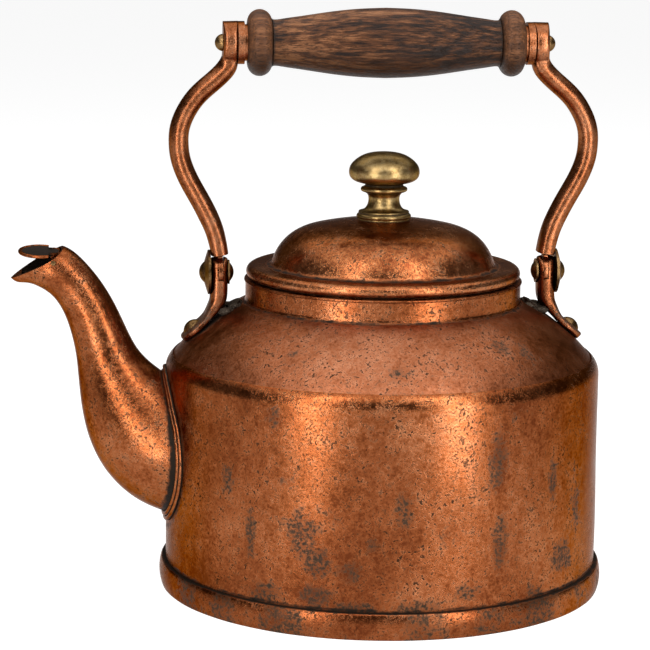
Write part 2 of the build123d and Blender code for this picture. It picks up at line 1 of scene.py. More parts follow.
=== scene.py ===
# %% [markdown]
# # An aged copper tea kettle
# The kettle is raised from copper sheet: a straight wall, a domed shoulder, a collar and a
# lift-off lid, with a soldered spout and a swinging handle of forged rod. The imported CAD part
# gives every size and every moving body. This lesson dresses it: the large copper forms are
# worked out again as fine surfaces that can carry dents, grime, painted shade and worn edges,
# and the small turned and riveted pieces keep their CAD shape under a better finish.

import math

import bmesh
import bpy
import numpy as np
from mathutils import Matrix, Vector


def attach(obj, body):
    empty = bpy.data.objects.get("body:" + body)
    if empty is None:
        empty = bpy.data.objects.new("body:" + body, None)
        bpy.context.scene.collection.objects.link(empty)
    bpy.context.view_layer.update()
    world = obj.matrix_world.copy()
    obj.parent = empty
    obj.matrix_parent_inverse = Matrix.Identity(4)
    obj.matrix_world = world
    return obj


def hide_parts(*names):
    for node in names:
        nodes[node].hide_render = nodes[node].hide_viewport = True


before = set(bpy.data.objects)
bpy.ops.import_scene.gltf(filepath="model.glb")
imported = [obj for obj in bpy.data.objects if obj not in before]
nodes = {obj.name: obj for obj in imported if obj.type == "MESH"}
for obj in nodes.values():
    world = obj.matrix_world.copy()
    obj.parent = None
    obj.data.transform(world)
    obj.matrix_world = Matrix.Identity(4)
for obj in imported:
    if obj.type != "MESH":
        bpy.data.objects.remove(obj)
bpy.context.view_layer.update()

# %% [markdown]
# ## From numbers to a mesh
# A surface is a net of points: rows along the shape and columns round it. The net is filled as
# whole arrays, so a change of formula costs nothing, and its quads come from shifted copies of
# one index table. Points that meet at a pole or a seam are merged, and the faces are turned out.

# %% Net of points to object
MM = 0.001


def net(name, points, wrap_rows=False, wrap_columns=True):
    """Quads between rows i, i+1 and columns j, j+1 of an array of points in millimetres."""
    rows, columns, _ = points.shape
    index = np.arange(rows * columns).reshape(rows, columns)
    down = np.roll(index, -1, axis=0) if wrap_rows else index[1:]
    up = index if wrap_rows else index[:-1]
    quads = np.stack([up, np.roll(up, -1, 1), np.roll(down, -1, 1), down], axis=-1)
    quads = quads if wrap_columns else quads[:, :-1]
    mesh = bpy.data.meshes.new(name)
    mesh.from_pydata((points.reshape(-1, 3) * MM).tolist(), [], quads.reshape(-1, 4).tolist())
    return finish_mesh(name, mesh)


def finish_mesh(name, mesh, sharp=40.0):
    """Merges doubled points, drops folded faces, turns the faces outwards and shades them smooth."""
    work = bmesh.new()
    work.from_mesh(mesh)
    bmesh.ops.remove_doubles(work, verts=work.verts, dist=1e-6)
    bmesh.ops.dissolve_degenerate(work, edges=work.edges, dist=1e-7)
    bmesh.ops.recalc_face_normals(work, faces=work.faces)
    work.to_mesh(mesh)
    work.free()
    mesh.polygons.foreach_set("use_smooth", np.ones(len(mesh.polygons), bool))
    mesh.set_sharp_from_angle(angle=math.radians(sharp))
    piece = bpy.data.objects.new(name, mesh)
    bpy.context.scene.collection.objects.link(piece)
    return piece


def capped(rows):
    """Closes an open net: adds a row at each end that lies wholly in that end's middle."""
    ends = rows[[0, -1]].mean(axis=1, keepdims=True).repeat(rows.shape[1], axis=1)
    return np.concatenate([ends[:1], rows, ends[1:]])


def places(piece):
    """Vertex places of a piece in millimetres, as an (n, 3) array."""
    flat = np.empty(len(piece.data.vertices) * 3, np.float32)
    piece.data.vertices.foreach_get("co", flat)
    return flat.reshape(-1, 3).astype(float) / MM


def brush(piece, layer, values):
    """Stores one number for each vertex, which a material reads by the layer's name."""
    found = piece.data.attributes.get(layer) or piece.data.attributes.new(layer, "FLOAT", "POINT")
    found.data.foreach_set("value", np.clip(values, 0, 1).astype(np.float32))


def fade(distance, width):
    """Falls smoothly from 1 at no distance to 0 at the width: the square of 1 - (d/w)^2."""
    return np.clip(1 - (distance / width) ** 2, 0, 1) ** 2


# %% [markdown]
# ## Turned and raised forms
# A smith raises sheet over a stake while turning it, so most of the kettle is a profile carried
# round an axis. Profiles are written the way a template is drawn: arcs joined by straight runs.

# %% Profiles
def arc(center, radius, start, end, count=16):
    """Points of an arc: centre + radius times (cos a, sin a), with a from start to end in degrees."""
    a = np.radians(np.linspace(start, end, count))[:, None]
    return np.array(center) + radius * np.hstack([np.cos(a), np.sin(a)])


def run(start, end, step=1.5):
    """Evenly spaced points of a straight run, both ends kept."""
    start, end = np.array(start, float), np.array(end, float)
    count = max(2, int(np.ceil(np.linalg.norm(end - start) / step)) + 1)
    t = np.linspace(0, 1, count)[:, None]
    return start + t * (end - start)


def joined(*parts):
    """One profile from several parts, with points that repeat left out."""
    path = np.vstack(parts)
    keep = np.append(True, np.linalg.norm(np.diff(path, axis=0), axis=1) > 1e-3)
    return path[keep]


def smooth_through(points, count, closed=False):
    """Natural cubic spline through the points, its second slopes solved from one band matrix."""
    p = np.array(points, float)
    t = np.append(0, np.cumsum(np.linalg.norm(np.diff(p, axis=0), axis=1)))
    h = np.diff(t)
    n = len(p)
    band = np.eye(n)
    side = np.zeros_like(p)
    k = np.arange(1, n - 1)
    band[k, k - 1], band[k, k], band[k, k + 1] = h[:-1], 2 * (h[:-1] + h[1:]), h[1:]
    side[1:-1] = 6 * (np.diff(p[1:], axis=0) / h[1:, None] - np.diff(p[:-1], axis=0) / h[:-1, None])
    bend = np.linalg.solve(band, side)
    s = np.linspace(0, t[-1], count)
    i = np.clip(np.searchsorted(t, s) - 1, 0, n - 2)
    a, b, w = (t[i + 1] - s)[:, None], (s - t[i])[:, None], h[i][:, None]
    return ((bend[i] * a**3 + bend[i + 1] * b**3) / (6 * w)
            + (p[i] / w - bend[i] * w / 6) * a + (p[i + 1] / w - bend[i + 1] * w / 6) * b)


def lathe(name, profile, turns=256, closed=True, drift=None):
    """Carries a profile (radius, height) round Z: (r cos a, r sin a, z), r moved by drift(a, r, z)."""
    a = np.linspace(0, 2 * np.pi, turns, endpoint=False)[None, :]
    r, z = profile[:, :1] + 0 * a, profile[:, 1:] + 0 * a
    if drift is not None:
        r = r + drift(a, r, z)
    return net(name, np.stack([r * np.cos(a), r * np.sin(a), z], axis=-1), wrap_rows=closed)


# %% [markdown]
# ## The wall and its crease
# The wall is a plain cylinder whose upper edge rolls inwards, and the shoulder is let in just
# under that roll, which leaves a bright crease with a dark line above it. Hand raised sheet is
# never quite round, so the radius drifts by a few tenths of a millimetre in long, slow waves.

# %% Vessel sizes and the wall
sheet = 1.4
body_radius, base_thickness = 97.0, 2.0
crease_height, crease_rounding, crease_turn = 104.0, 9.0, 50.0
crease_center = (body_radius - crease_rounding,
                 crease_height - crease_rounding * math.sin(math.radians(crease_turn)))


def waves(a, r, z):
    """Slow dents of the raised wall: four products of sines, faded out at the base and the crease."""
    depth = (0.30 * np.sin(3 * a + z / 23) * np.sin(z / 19 + 0.8) + 0.16 * np.sin(8 * a + 1.9 + z / 31)
             + 0.12 * np.sin(13 * a - z / 14) + 0.10 * np.sin(5 * a + 2.2) * np.sin(z / 8.5))
    return depth * fade(z - 54, 54)


wall_profile = joined(
    run((body_radius, base_thickness), (body_radius, crease_center[1])),
    arc(crease_center, crease_rounding, 0, crease_turn, 20),
    arc(crease_center, crease_rounding - sheet, crease_turn, 0, 12),
    run((body_radius - sheet, crease_center[1]), (body_radius - sheet, base_thickness), 4.0),
)
wall = lathe("wall_sheet", wall_profile, 384, drift=waves)
print("wall", len(wall.data.vertices), "points")

# %% [markdown]
# ## Shoulder, collar and base ring
# The shoulder is one shallow arc from the crease to the collar. Its centre follows from its two
# ends and from the slope at its edge, as in the CAD source, so the two agree to the hair.

# %% Shoulder
shoulder_start = arc(crease_center, crease_rounding - 0.5, crease_turn, crease_turn, 1)[0]
collar_radius, collar_foot, collar_top = 61.4, 127.9, 137.8
chord = np.array([collar_radius, collar_foot]) - shoulder_start
slope = math.degrees(math.atan2(chord[1], -chord[0]))
half_turn = 50.0 - slope
shoulder_radius = np.linalg.norm(chord) / (2 * math.sin(math.radians(half_turn)))
shoulder_angles = (40.0, 40.0 + 2 * half_turn)
shoulder_center = shoulder_start - arc((0, 0), shoulder_radius, 40.0, 40.0, 1)[0]


def shoulder_waves(a, r, z):
    """Two long dents round the shoulder, gone at both of its edges."""
    return (0.14 * np.sin(5 * a + 0.6) + 0.10 * np.sin(11 * a + z / 5)) * fade(z - 116, 11.5)


shoulder_profile = joined(arc(shoulder_center, shoulder_radius, *shoulder_angles, 40),
                          arc(shoulder_center, shoulder_radius - sheet, *shoulder_angles[::-1], 20))
shoulder = lathe("shoulder_sheet", shoulder_profile, 384, drift=shoulder_waves)
print("shoulder arc", round(shoulder_radius, 1), "mm")

# %% [markdown]
# The collar is a soldered hoop with a thin rolled lip, and an inward ledge that carries the lid.
# Its foot sits in a soft fillet of solder, which later gathers the darkest grime.

# %% Collar and base ring
ledge = 2.4
lip = 0.6
inside = collar_radius - sheet
foot = arc(shoulder_center, shoulder_radius, shoulder_angles[1], shoulder_angles[1], 1)[0]
foot_low = arc(shoulder_center, shoulder_radius - sheet, shoulder_angles[1], shoulder_angles[1], 1)[0]
collar_profile = joined(
    foot + np.array([[0.9, -0.55], [0.35, 0.1], [0.05, 0.9]]),
    run((collar_radius, collar_foot + 1.4), (collar_radius, collar_top - 2 * lip), 0.8),
    arc((collar_radius, collar_top - lip), lip, -70, 90, 9),
    run((inside - ledge, collar_top), (inside - ledge, collar_top - sheet), 0.7),
    run((inside, collar_top - sheet), (inside, foot_low[1]), 2.0),
    foot_low[None, :],
)
collar = lathe("collar_hoop", collar_profile, 320)

ring_height, ring_foot, ring_reach = 11.5, 99.2, 100.0
ring_half = (ring_height - 0.9) / 2
ring_chord = ring_reach - ring_foot
ring_arc_radius = (ring_half**2 + ring_chord**2) / (2 * ring_chord)
ring_swing = math.degrees(math.asin(ring_half / ring_arc_radius))
ring_profile = joined(
    run((body_radius - 0.4, 0), (ring_foot, 0), 0.8),
    arc((ring_reach - ring_arc_radius, ring_half), ring_arc_radius, -ring_swing, ring_swing, 14),
    np.array([[ring_foot - 0.35, ring_height - 0.35], [ring_foot - 0.9, ring_height - 0.1],
              [body_radius - 0.4, ring_height]]),
)


def ring_waves(a, r, z):
    """The ring's edge was planished by hand: faint flats round the outside."""
    return np.where(r > body_radius + 0.5, 0.05 * np.sin(9 * a + 1) + 0.04 * np.sin(23 * a) - 0.06, 0)


ring = lathe("base_ring_band", ring_profile, 384, drift=ring_waves)
print("collar and ring", len(collar.data.vertices), len(ring.data.vertices))

# %% [markdown]
# ## The lid
# A shallow crown runs into a tight haunch, and a small fillet turns out into a flat rim with a
# rolled bead. The same arcs, offset by the sheet's thickness, make the underside.

# %% Lid shell
rim_radius, rim_bead = 61.1, 2.8
bead_height = collar_top + 0.3 + rim_bead
rim_top = bead_height + rim_bead
bead_center = np.array([rim_radius - rim_bead, bead_height])
crown_height, crown_edge, crown_drop = 20.9, 33.0, 3.8
haunch, fillet = 22.6, 2.9
crown_top = rim_top + crown_height
crown_radius = (crown_edge**2 + crown_drop**2) / (2 * crown_drop)
crown_angle = math.degrees(math.acos(crown_edge / crown_radius))
crown_center = np.array([0, crown_top - crown_radius])
haunch_center = arc(crown_center, crown_radius - haunch, crown_angle, crown_angle, 1)[0]
fillet_rise = rim_top + fillet - haunch_center[1]
foot_angle = math.degrees(math.asin(fillet_rise / (haunch + fillet)))
fillet_center = arc(haunch_center, haunch + fillet, foot_angle, foot_angle, 1)[0]


def lid_waves(a, r, z):
    """Faint unevenness of the lid's haunch, gone at the knob and the rim."""
    return (0.12 * np.sin(4 * a + 2.1) + 0.08 * np.sin(9 * a + z / 4)) * fade(r - 42, 16)


lid_profile = joined(
    arc(crown_center, crown_radius, 90, crown_angle, 26),
    arc(haunch_center, haunch, crown_angle, foot_angle, 26),
    arc(fillet_center, fillet, foot_angle + 180, 270, 10),
    run((fillet_center[0], rim_top), (bead_center[0], rim_top), 0.8),
    arc(bead_center, rim_bead, 90, -200, 34),
    run((bead_center[0] - rim_bead, rim_top - sheet), (fillet_center[0], rim_top - sheet), 0.8),
    arc(fillet_center, fillet + sheet, 270, foot_angle + 180, 10),
    arc(haunch_center, haunch - sheet, foot_angle, crown_angle, 14),
    arc(crown_center, crown_radius - sheet, crown_angle, 90, 12),
)
lid = lathe("lid_dome", lid_profile, 320, closed=False, drift=lid_waves)
print("lid crown at", round(crown_top, 1), "mm")

# %% [markdown]
# ## The knob
# The knob is turned from brass bar: a flange, a waisted stem, a thin ring and a mushroom cap.
# A smooth curve through the turner's template points gives the soft hollows between the edges.

# %% Knob
knob_seat = crown_top - (crown_radius - math.sqrt(crown_radius**2 - 12.1**2))
knob_top = knob_seat + 30.2
stem = smooth_through([(11.1, 3.9), (8.6, 4.9), (7.4, 6.6), (6.9, 8.9), (7.2, 10.9), (8.4, 12.3)], 24)
cap = smooth_through([(9.4, 16.3), (12.9, 17.2), (15.2, 19.1), (15.7, 21.3), (15.2, 23.7), (13.0, 26.4),
                      (9.4, 28.7), (4.9, 29.9), (0, 30.2)], 44)
knob_profile = joined(
    np.array([[0, 0.5], [11.6, 0.02]]),
    arc((11.0, 1.7), 1.15, -60, 75, 10),
    np.array([[11.2, 3.1], [11.3, 3.5]]),
    stem,
    np.array([[9.4, 12.5]]),
    arc((9.35, 13.6), 1.05, -80, 80, 10),
    np.array([[9.0, 14.9], [8.5, 15.2], [8.4, 15.7]]),
    cap,
)
knob = lathe("knob_turned", knob_profile + np.array([0, knob_seat]), 160, closed=False)
print("knob top", round(knob_top, 1), "mm")

# %% [markdown]
# ## The spout
# The gooseneck is a sheet tube hammered round a bent mandrel. Sections stand across its axis, so
# it is a profile carried along a path: at each station the section is an ellipse, wider at the
# root, and its plane leans with the climb of the neck.

# %% Spout tube
# Stations: place along X, height, radius, and climb of the neck in degrees.
stations = np.array([
    (-84.0, 60.0, 30.0, 10.0), (-96.0, 63.8, 29.0, 26.0), (-106.0, 71.0, 26.2, 43.0),
    (-117.0, 87.0, 19.6, 58.0), (-122.9, 102.0, 14.0, 69.0), (-128.5, 119.3, 11.4, 68.0),
    (-134.5, 131.4, 10.5, 54.0), (-140.3, 138.7, 10.4, 43.0), (-147.7, 143.8, 10.4, 29.0),
    (-153.6, 144.5, 8.8, 13.0), (-158.8, 142.9, 6.4, 3.0), (-163.0, 140.5, 3.4, 0.0),
    (-165.0, 139.6, 1.0, 0.0)])


def tube(growth, rows=150, columns=96, last=1.0):
    """Ellipses along the spout's course: centre + radius cos b across, radius sin b up the leaning plane."""
    course = smooth_through(stations[:, [0, 2, 1]], rows)
    t = np.linspace(0, 1, rows)
    climb = np.radians(np.interp(-course[:, 0], -stations[:, 0], stations[:, 3]))
    keep = t <= last
    course, t, climb = course[keep], t[keep], climb[keep]
    b = np.linspace(0, 2 * np.pi, columns, endpoint=False)[None, :]
    radius = np.maximum(course[:, 1:2] + growth, 0.05)
    wide = np.maximum((course[:, 1] * (1 + 0.06 * np.clip(1 - t / 0.3, 0, 1)))[:, None] + growth, 0.05)
    lean = radius * np.sin(b)
    points = np.stack([course[:, :1] + lean * np.sin(climb)[:, None], wide * np.cos(b),
                       course[:, 2:] + lean * np.cos(climb)[:, None]], axis=-1)
    return capped(points)


def prism(name, outline, half_width, origin, roll):
    """Straight bar along the mouth's rolled width: outline (x, up) carried along one line each way."""
    side = np.array([0, math.cos(roll), math.sin(roll)])
    up = np.array([0, -math.sin(roll), math.cos(roll)])
    flat = np.array(outline, float)
    ring_points = np.array(origin) + flat[:, :1] * np.array([1, 0, 0]) + flat[:, 1:] * up
    rings = np.stack([ring_points - half_width * side, ring_points + half_width * side])
    return net(name, capped(rings))


def cut(piece, cutter):
    """Takes the cutter's space out of the piece with one exact boolean, and removes the cutter."""
    modifier = piece.modifiers.new("cut", "BOOLEAN")
    modifier.operation, modifier.object, modifier.solver = "DIFFERENCE", cutter, "EXACT"
    made = bpy.data.meshes.new_from_object(piece.evaluated_get(bpy.context.evaluated_depsgraph_get()))
    old, name = piece.data, piece.name
    bpy.data.objects.remove(piece)
    bpy.data.objects.remove(cutter)
    bpy.data.meshes.remove(old)
    return finish_mesh(name, made)


def drum(name, radius, low, high):
    """Upright cylinder as a closed profile of revolution."""
    return lathe(name, np.array([[0, low], [radius, low], [radius, high], [0, high]]), 384, closed=False)


roll = math.radians(7.0)
mouth_top, mouth_corner = np.array([-141.6, 152.6]), np.array([-145.6, 149.5])
beak_end = np.array([-165.4, 138.5])
top, end = mouth_top - mouth_corner, beak_end - mouth_corner
mouth = [3 * top, (0, 0), end, (2 * end[0], end[1]), (2 * end[0], 3 * top[1])]
spout = cut(net("spout_neck", tube(0.0)), net("bore", tube(-1.2, last=0.95)))
spout = cut(spout, drum("drum", body_radius - 0.3, 0, crease_height))
spout = cut(spout, prism("mouth", mouth, 20, (mouth_corner[0], 0, mouth_corner[1]), roll))
print("spout", len(spout.data.vertices), "points")

# %% [markdown]
# Two rolled beads hide the joint between neck and wall, with a groove between them. Each follows
# the closed line in which the neck, grown by a little, meets the wall.

# %% Spout beads
def joint_line(growth, level, columns=240):
    """Where each meridian of the grown neck first comes out of the cylinder of the given radius."""
    hull = tube(growth, rows=400, columns=columns)[1:-1]
    out = np.hypot(hull[..., 0], hull[..., 1])
    first = np.argmax((out[1:] >= level) & (out[:-1] < level), axis=0)
    k = np.arange(columns)
    low, high = out[first, k], out[first + 1, k]
    share = ((level - low) / (high - low))[:, None]
    return hull[first, k] * (1 - share) + hull[first + 1, k] * share


def rolled_bead(name, growth, lift, high, wide, sides=20):
    """Closed sweep: line point + N high cos f + B wide sin f, with N off the wall and B along it."""
    line = joint_line(growth, body_radius + lift)
    for _ in range(6):
        line = 0.5 * line + 0.25 * (np.roll(line, 1, axis=0) + np.roll(line, -1, axis=0))
    along = np.roll(line, -1, axis=0) - np.roll(line, 1, axis=0)
    along /= np.linalg.norm(along, axis=1, keepdims=True)
    off = line * np.array([1, 1, 0])
    off /= np.linalg.norm(off, axis=1, keepdims=True)
    beside = np.cross(along, off)
    f = np.linspace(0, 2 * np.pi, sides, endpoint=False)[None, :, None]
    points = line[:, None] + off[:, None] * high * np.cos(f) + beside[:, None] * wide * np.sin(f)
    return net(name, points, wrap_rows=True)


flange = rolled_bead("spout_flange", 2.7, 0.1, 1.25, 1.1)
seam = rolled_bead("spout_seam", 0.8, 0.3, 1.7, 1.15)
print("beads", len(flange.data.vertices) + len(seam.data.vertices), "points")

# %% [markdown]
# ## The flap
# The flap is a small round leaf, dished with a ball hammer and rolled at its edge. It is worked
# flat, with the pin at the origin, and then laid on the plane that the CAD leaf stands in.

# %% Flap leaf
flap_center, flap_radius, leaf_foot, rim_roll = -5.8, 9.8, 1.32, 0.75
pin = Vector((-146.2, 1.5 * math.sin(roll), 149.5 - 1.5 * math.cos(roll)))
pin_line = Vector((0, math.cos(roll), math.sin(roll)))
open_turn = Matrix.Rotation(math.radians(1.5), 3, pin_line)
leaf_x = open_turn @ Vector((1, 0, 0))
leaf_z = open_turn @ Vector((0, -math.sin(roll), math.cos(roll)))
leaf_axes = np.array([leaf_x, leaf_z.cross(leaf_x), leaf_z])


def dish(radius, level, sag):
    """Bowl line z = level - sag (1 - (r/R)^2), from the axis out to the radius."""
    r = np.linspace(0, radius, 22)
    return np.stack([r, level - sag * (1 - (r / radius) ** 2)], axis=1)


dish_radius, heel_half, heel_reach, shoulder_reach = 8.4, 4.2, 2.6, -2.2
leaf_profile = joined(dish(dish_radius, leaf_foot + 1.30, 0.90),
                      arc((flap_radius - rim_roll, leaf_foot + rim_roll + 0.03), rim_roll, 130, -90, 18),
                      dish(dish_radius, leaf_foot + 0.15, 0.10)[::-1])
turn = np.linspace(0, 2 * np.pi, 144, endpoint=False)[None, :]
r, z = leaf_profile[:, :1], leaf_profile[:, 1:] + 0 * turn
leaf = np.stack([flap_center + r * np.cos(turn), r * np.sin(turn), z], axis=-1)
heel = np.where(np.abs(leaf[..., 1]) < heel_half, heel_reach, shoulder_reach)
leaf[..., 0] = np.minimum(leaf[..., 0], heel)
flap = net("flap_leaf", leaf @ leaf_axes + np.array(pin))
turn = np.linspace(0, 2 * np.pi, 32, endpoint=False)[None, :]
roller = np.array([(0, -3.8), (1.6, -3.8), (1.6, 3.8), (0, 3.8)])
r, y = roller[:, :1], roller[:, 1:] + 0 * turn
knuckle = np.stack([r * np.cos(turn), y, r * np.sin(turn)], axis=-1)
knuckle = net("flap_knuckle", knuckle @ leaf_axes + np.array(pin))
print("flap", len(flap.data.vertices), "points")

# %% [markdown]
# ## The arms and the ears
# Arms and ears are forged bars. A bar is a way in the plane of the handle with a thickness, a width
# and a squareness that change along it. The arm ends below in a thin tongue, and the ear is forked
# to take it: the two make a half-lap joint on the pivot.

# %% Forged bar
pivot_height, grip_height = 140.8, 242.2
tongue_radius, tongue_neck, eye_radius = 6.93, 2.6, 9.4
slot_radius, slot_sides, slot_top = 7.6, (71.4, 73.8), 160
arm_way = np.array([(72.6, 133.8), (72.6, 140.8), (72.9, 148.0), (74.1, 154.8), (75.6, 160.1), (77.9, 165.5),
                    (80.6, 170.9), (83.6, 176.3), (86.5, 181.6), (88.9, 187.0), (90.5, 192.4), (91.1, 198.0),
                    (90.9, 203.2), (89.5, 208.4), (86.9, 213.6), (83.0, 218.9), (77.6, 223.9), (72.6, 228.4),
                    (69.5, 232.6), (68.7, 237.0), (68.6, 251.6)])


def forged_bar(name, side, way, thick, wide, power, columns=48):
    """Sections n t |cos b|^(2/p) + Y w |sin b|^(2/p) across the way, with t, w and p given row by row."""
    tangent = np.gradient(way, axis=0)
    tangent /= np.linalg.norm(tangent, axis=1, keepdims=True)
    b = np.linspace(0, 2 * np.pi, columns, endpoint=False)[None, :]
    c, s, bend = np.cos(b), np.sin(b), 2 / power[:, None]
    along = thick[:, None] * np.sign(c) * np.abs(c) ** bend
    across = np.maximum(wide, 0.02)[:, None] * np.sign(s) * np.abs(s) ** bend
    points = np.stack([side * (way[:, :1] + along * tangent[:, 1:]), across,
                       way[:, 1:] - along * tangent[:, :1]], axis=-1)
    return net(name, capped(points))


# %% Arms
def arm(side, hand):
    """Tongue below the shoulder at z 148.3, oval rod 8.8 by 12 mm, and a round flat eye at the top."""
    way = smooth_through(arm_way, 240)
    z = way[:, 1]
    eye = np.sqrt(np.clip(eye_radius**2 - (z - grip_height) ** 2, 0, None))
    tongue = np.sqrt(np.clip(tongue_radius**2 - (z - pivot_height) ** 2, 0, None))
    tongue = np.where(z > pivot_height, np.maximum(tongue, tongue_neck), tongue)
    toward_eye = np.clip((z - 230) / 6, 0, 1) ** 2
    toward_tongue = np.clip((148.7 - z) / 0.4, 0, 1)
    foot = np.clip((166 - z) / 15, 0, 1)
    wide = (6.0 + 0.9 * foot) * (1 - toward_tongue) + tongue * toward_tongue
    wide = np.where(z > 230, np.maximum(eye, np.where(z < grip_height, 6.0, 0)), wide)
    thick = (4.4 - 0.5 * foot) * (1 - toward_tongue) * (1 - toward_eye)
    thick += 1.12 * toward_tongue + 3.3 * toward_eye
    power = 2.1 + 0.8 * foot * (1 - toward_tongue) + 12 * toward_tongue + 3.2 * toward_eye
    return forged_bar(f"{hand}_arm_forged", side, way, thick, wide, power)


arms = {hand: arm(side, hand) for side, hand in ((-1, "left"), (1, "right"))}
print("arms", [len(piece.data.vertices) for piece in arms.values()])


# %% Ears
def over_shoulder(x, rise):
    """Height of a line that runs the given rise over the shoulder's arc."""
    return shoulder_center[1] + math.sqrt((shoulder_radius + rise) ** 2 - (x - shoulder_center[0]) ** 2)


def ear(side, hand):
    """Bar 7.7 by 14 mm that bends out into a foot 3.5 by 18 mm. Its slot for the tongue has a round floor."""
    strap = [(x, over_shoulder(x, 1.75)) for x in (81.0, 84.0, 87.0, 89.4)]
    way = smooth_through([(73.25, 147.7), (73.25, 144.0), (73.25, 138.0), (73.3, 132.5), (74.0, 128.0),
                          (76.2, 124.2)] + strap, 170)
    s = np.append(0, np.cumsum(np.linalg.norm(np.diff(way, axis=0), axis=1)))
    bend = np.clip((s - 17) / 13, 0, 1)
    bend = bend * bend * (3 - 2 * bend)
    thick = 3.85 * (1 - bend) + 1.75 * bend
    wide = 7.0 + 2.0 * np.clip((s - 22) / 12, 0, 1)
    wide *= np.sqrt(np.clip(1 - (np.clip(s - (s[-1] - 8.4), 0, None) / 8.4) ** 2, 0.002, 1))
    top = np.sqrt(np.clip(1 - ((7.0 - s) / 7.0) ** 2, 0.004, 1))
    wide = np.where(s < 7.0, 7.0 * top, wide)
    thick = thick * np.where(s < 1.2, np.sqrt(np.clip(1 - ((1.2 - s) / 1.3) ** 2, 0.05, 1)), 1)
    thick *= np.where(s > s[-1] - 1.0, np.sqrt(np.clip(1 - ((s - s[-1] + 1.0) / 1.1) ** 2, 0.05, 1)), 1)
    piece = forged_bar(f"{hand}_ear_forged", side, way, thick, wide, 2.9 + 0.9 * bend, 64)
    turn = np.radians(np.linspace(180, 360, 31))
    slot = np.stack([slot_radius * np.cos(turn), pivot_height + slot_radius * np.sin(turn)], axis=1)
    slot = np.concatenate([slot, [(slot_radius, slot_top), (-slot_radius, slot_top)]])
    rows = np.stack([np.column_stack([np.full(len(slot), side * x), slot]) for x in slot_sides])
    return cut(piece, net("slot", capped(rows)))


ears = {hand: ear(side, hand) for side, hand in ((-1, "left"), (1, "right"))}
print("ears", [len(piece.data.vertices) for piece in ears.values()])

# %% [markdown]
# The ears were soldered as well as riveted. The solder ran out between ear and collar and froze in
# small rough lumps: spheres whose radius swells with three sine products.

# %% Solder
def lump(name, center, half, phase):
    """Squashed ball: half sizes times 1 + 0.2 sin 3u sin(2v + f) + 0.12 sin(5u + f) sin 4v + a finer term."""
    v = np.linspace(0, np.pi, 22)[:, None]
    u = np.linspace(0, 2 * np.pi, 36, endpoint=False)[None, :]
    swell = 1 + 0.20 * np.sin(3 * u) * np.sin(2 * v + phase) + 0.12 * np.sin(5 * u + phase) * np.sin(4 * v)
    swell = (swell + 0.07 * np.sin(9 * u + 2 * phase) * np.sin(7 * v + phase)) * np.sin(v)
    ball = np.stack([swell * np.cos(u), swell * np.sin(u), np.cos(v) + 0 * u], axis=-1)
    return net(name, np.array(center) + ball * np.array(half))


# Lumps: x, y, rise over the shoulder, and the half sizes along, across and up.
lump_table = [(70.2, -6.6, 0.5, 3.4, 2.2, 1.9), (66.0, -4.6, 0.3, 3.0, 2.4, 1.5),
              (69.0, 6.4, 0.5, 3.6, 2.4, 1.8), (64.6, 1.5, 0.4, 2.2, 4.2, 1.5),
              (71.4, -1.0, 0.9, 2.2, 5.6, 1.8)]
solder = []
for side, hand in ((-1, "left"), (1, "right")):
    for k, (x, y, rise, *half) in enumerate(lump_table):
        center = (side * x, y, over_shoulder(x, rise))
        solder.append(lump(f"{hand}_solder_{k + 1}", center, half, 1.3 * k + side))
print("solder lumps", len(solder))

# %% [markdown]
# ## The grip
# The grip is turned hardwood, bored for its rod: two round beads stand against the ferrules and
# a long belly fills the hand. The profile runs along X, so the lathe's result is laid over.

# %% Grip
grip_half, bead, bead_wide, belly, grip_bore = 61.1, 14.6, 10.8, 15.4, 3.06
bead_at = grip_half - bead_wide / 2
bead_round = arc((bead - bead_wide / 2, bead_at), bead_wide / 2, -90, 90, 22)
neck_run = smooth_through([(10.2, 50.1), (10.1, 48.6), (10.35, 46.5), (11.6, 38.0), (13.4, 26.0),
                           (14.9, 12.0), (belly, 0)], 50)
half = joined(bead_round[::-1], np.array([[10.6, 50.2]]), neck_run)
outer = np.vstack([half, (half * np.array([1, -1]))[::-1][1:]])
grip_profile = joined(np.array([[grip_bore, grip_half]]), outer, np.array([[grip_bore, -grip_half]]))
a = np.linspace(0, 2 * np.pi, 128, endpoint=False)[None, :]
r, x = grip_profile[:, :1], grip_profile[:, 1:] + 0 * a
grip = np.stack([x, r * np.cos(a), r * np.sin(a) + grip_height], axis=-1)
grip = net("grip_turned", grip, wrap_rows=True)
print("grip", len(grip.data.vertices), "points")

# %% [markdown]
# ## Where grime and painted shade sit, and where the metal is stained
# Two layers of numbers steer the finishes. The first holds grime and painted shade together.
# Grime gathers where a cloth can't reach: over the base ring, at the collar's foot and round the
# spout's root. Painted shade darkens the crease, the underside of the lid's rim and the collar's
# lip under it, the ring's foot, the lower spout and the underside of the grip.
# Stains mark the few places where the copper has turned dark, each an oval on the surface.

# %% Grime, painted shade and stains
def near_band(height, level, above, below):
    """Grime and painted shade of a groove that runs round at a level, fading over unequal widths up and down.
    """
    gap = height - level
    return np.where(gap > 0, fade(gap, above), fade(gap, below))


def root_distance(p):
    """Distance over the wall from the edge of the spout's root, an oval round y 0, z 63.5."""
    across, up = p[:, 1] / 33.5, (p[:, 2] - 63.5) / 36.0
    return np.where(p[:, 0] < 0, (np.hypot(across, up) - 1) * 34, 99)


def rough_edge(p, amount):
    """Wavering of a line of grime and painted shade round the kettle: five sines of the angle with unrelated
    counts.
    """
    a = np.arctan2(p[:, 1], p[:, 0])
    wave = sum(np.sin(n * a + 1.7 * n) / (1 + 0.02 * n) for n in (5, 13, 29, 61, 113))
    return amount * wave / 2.2


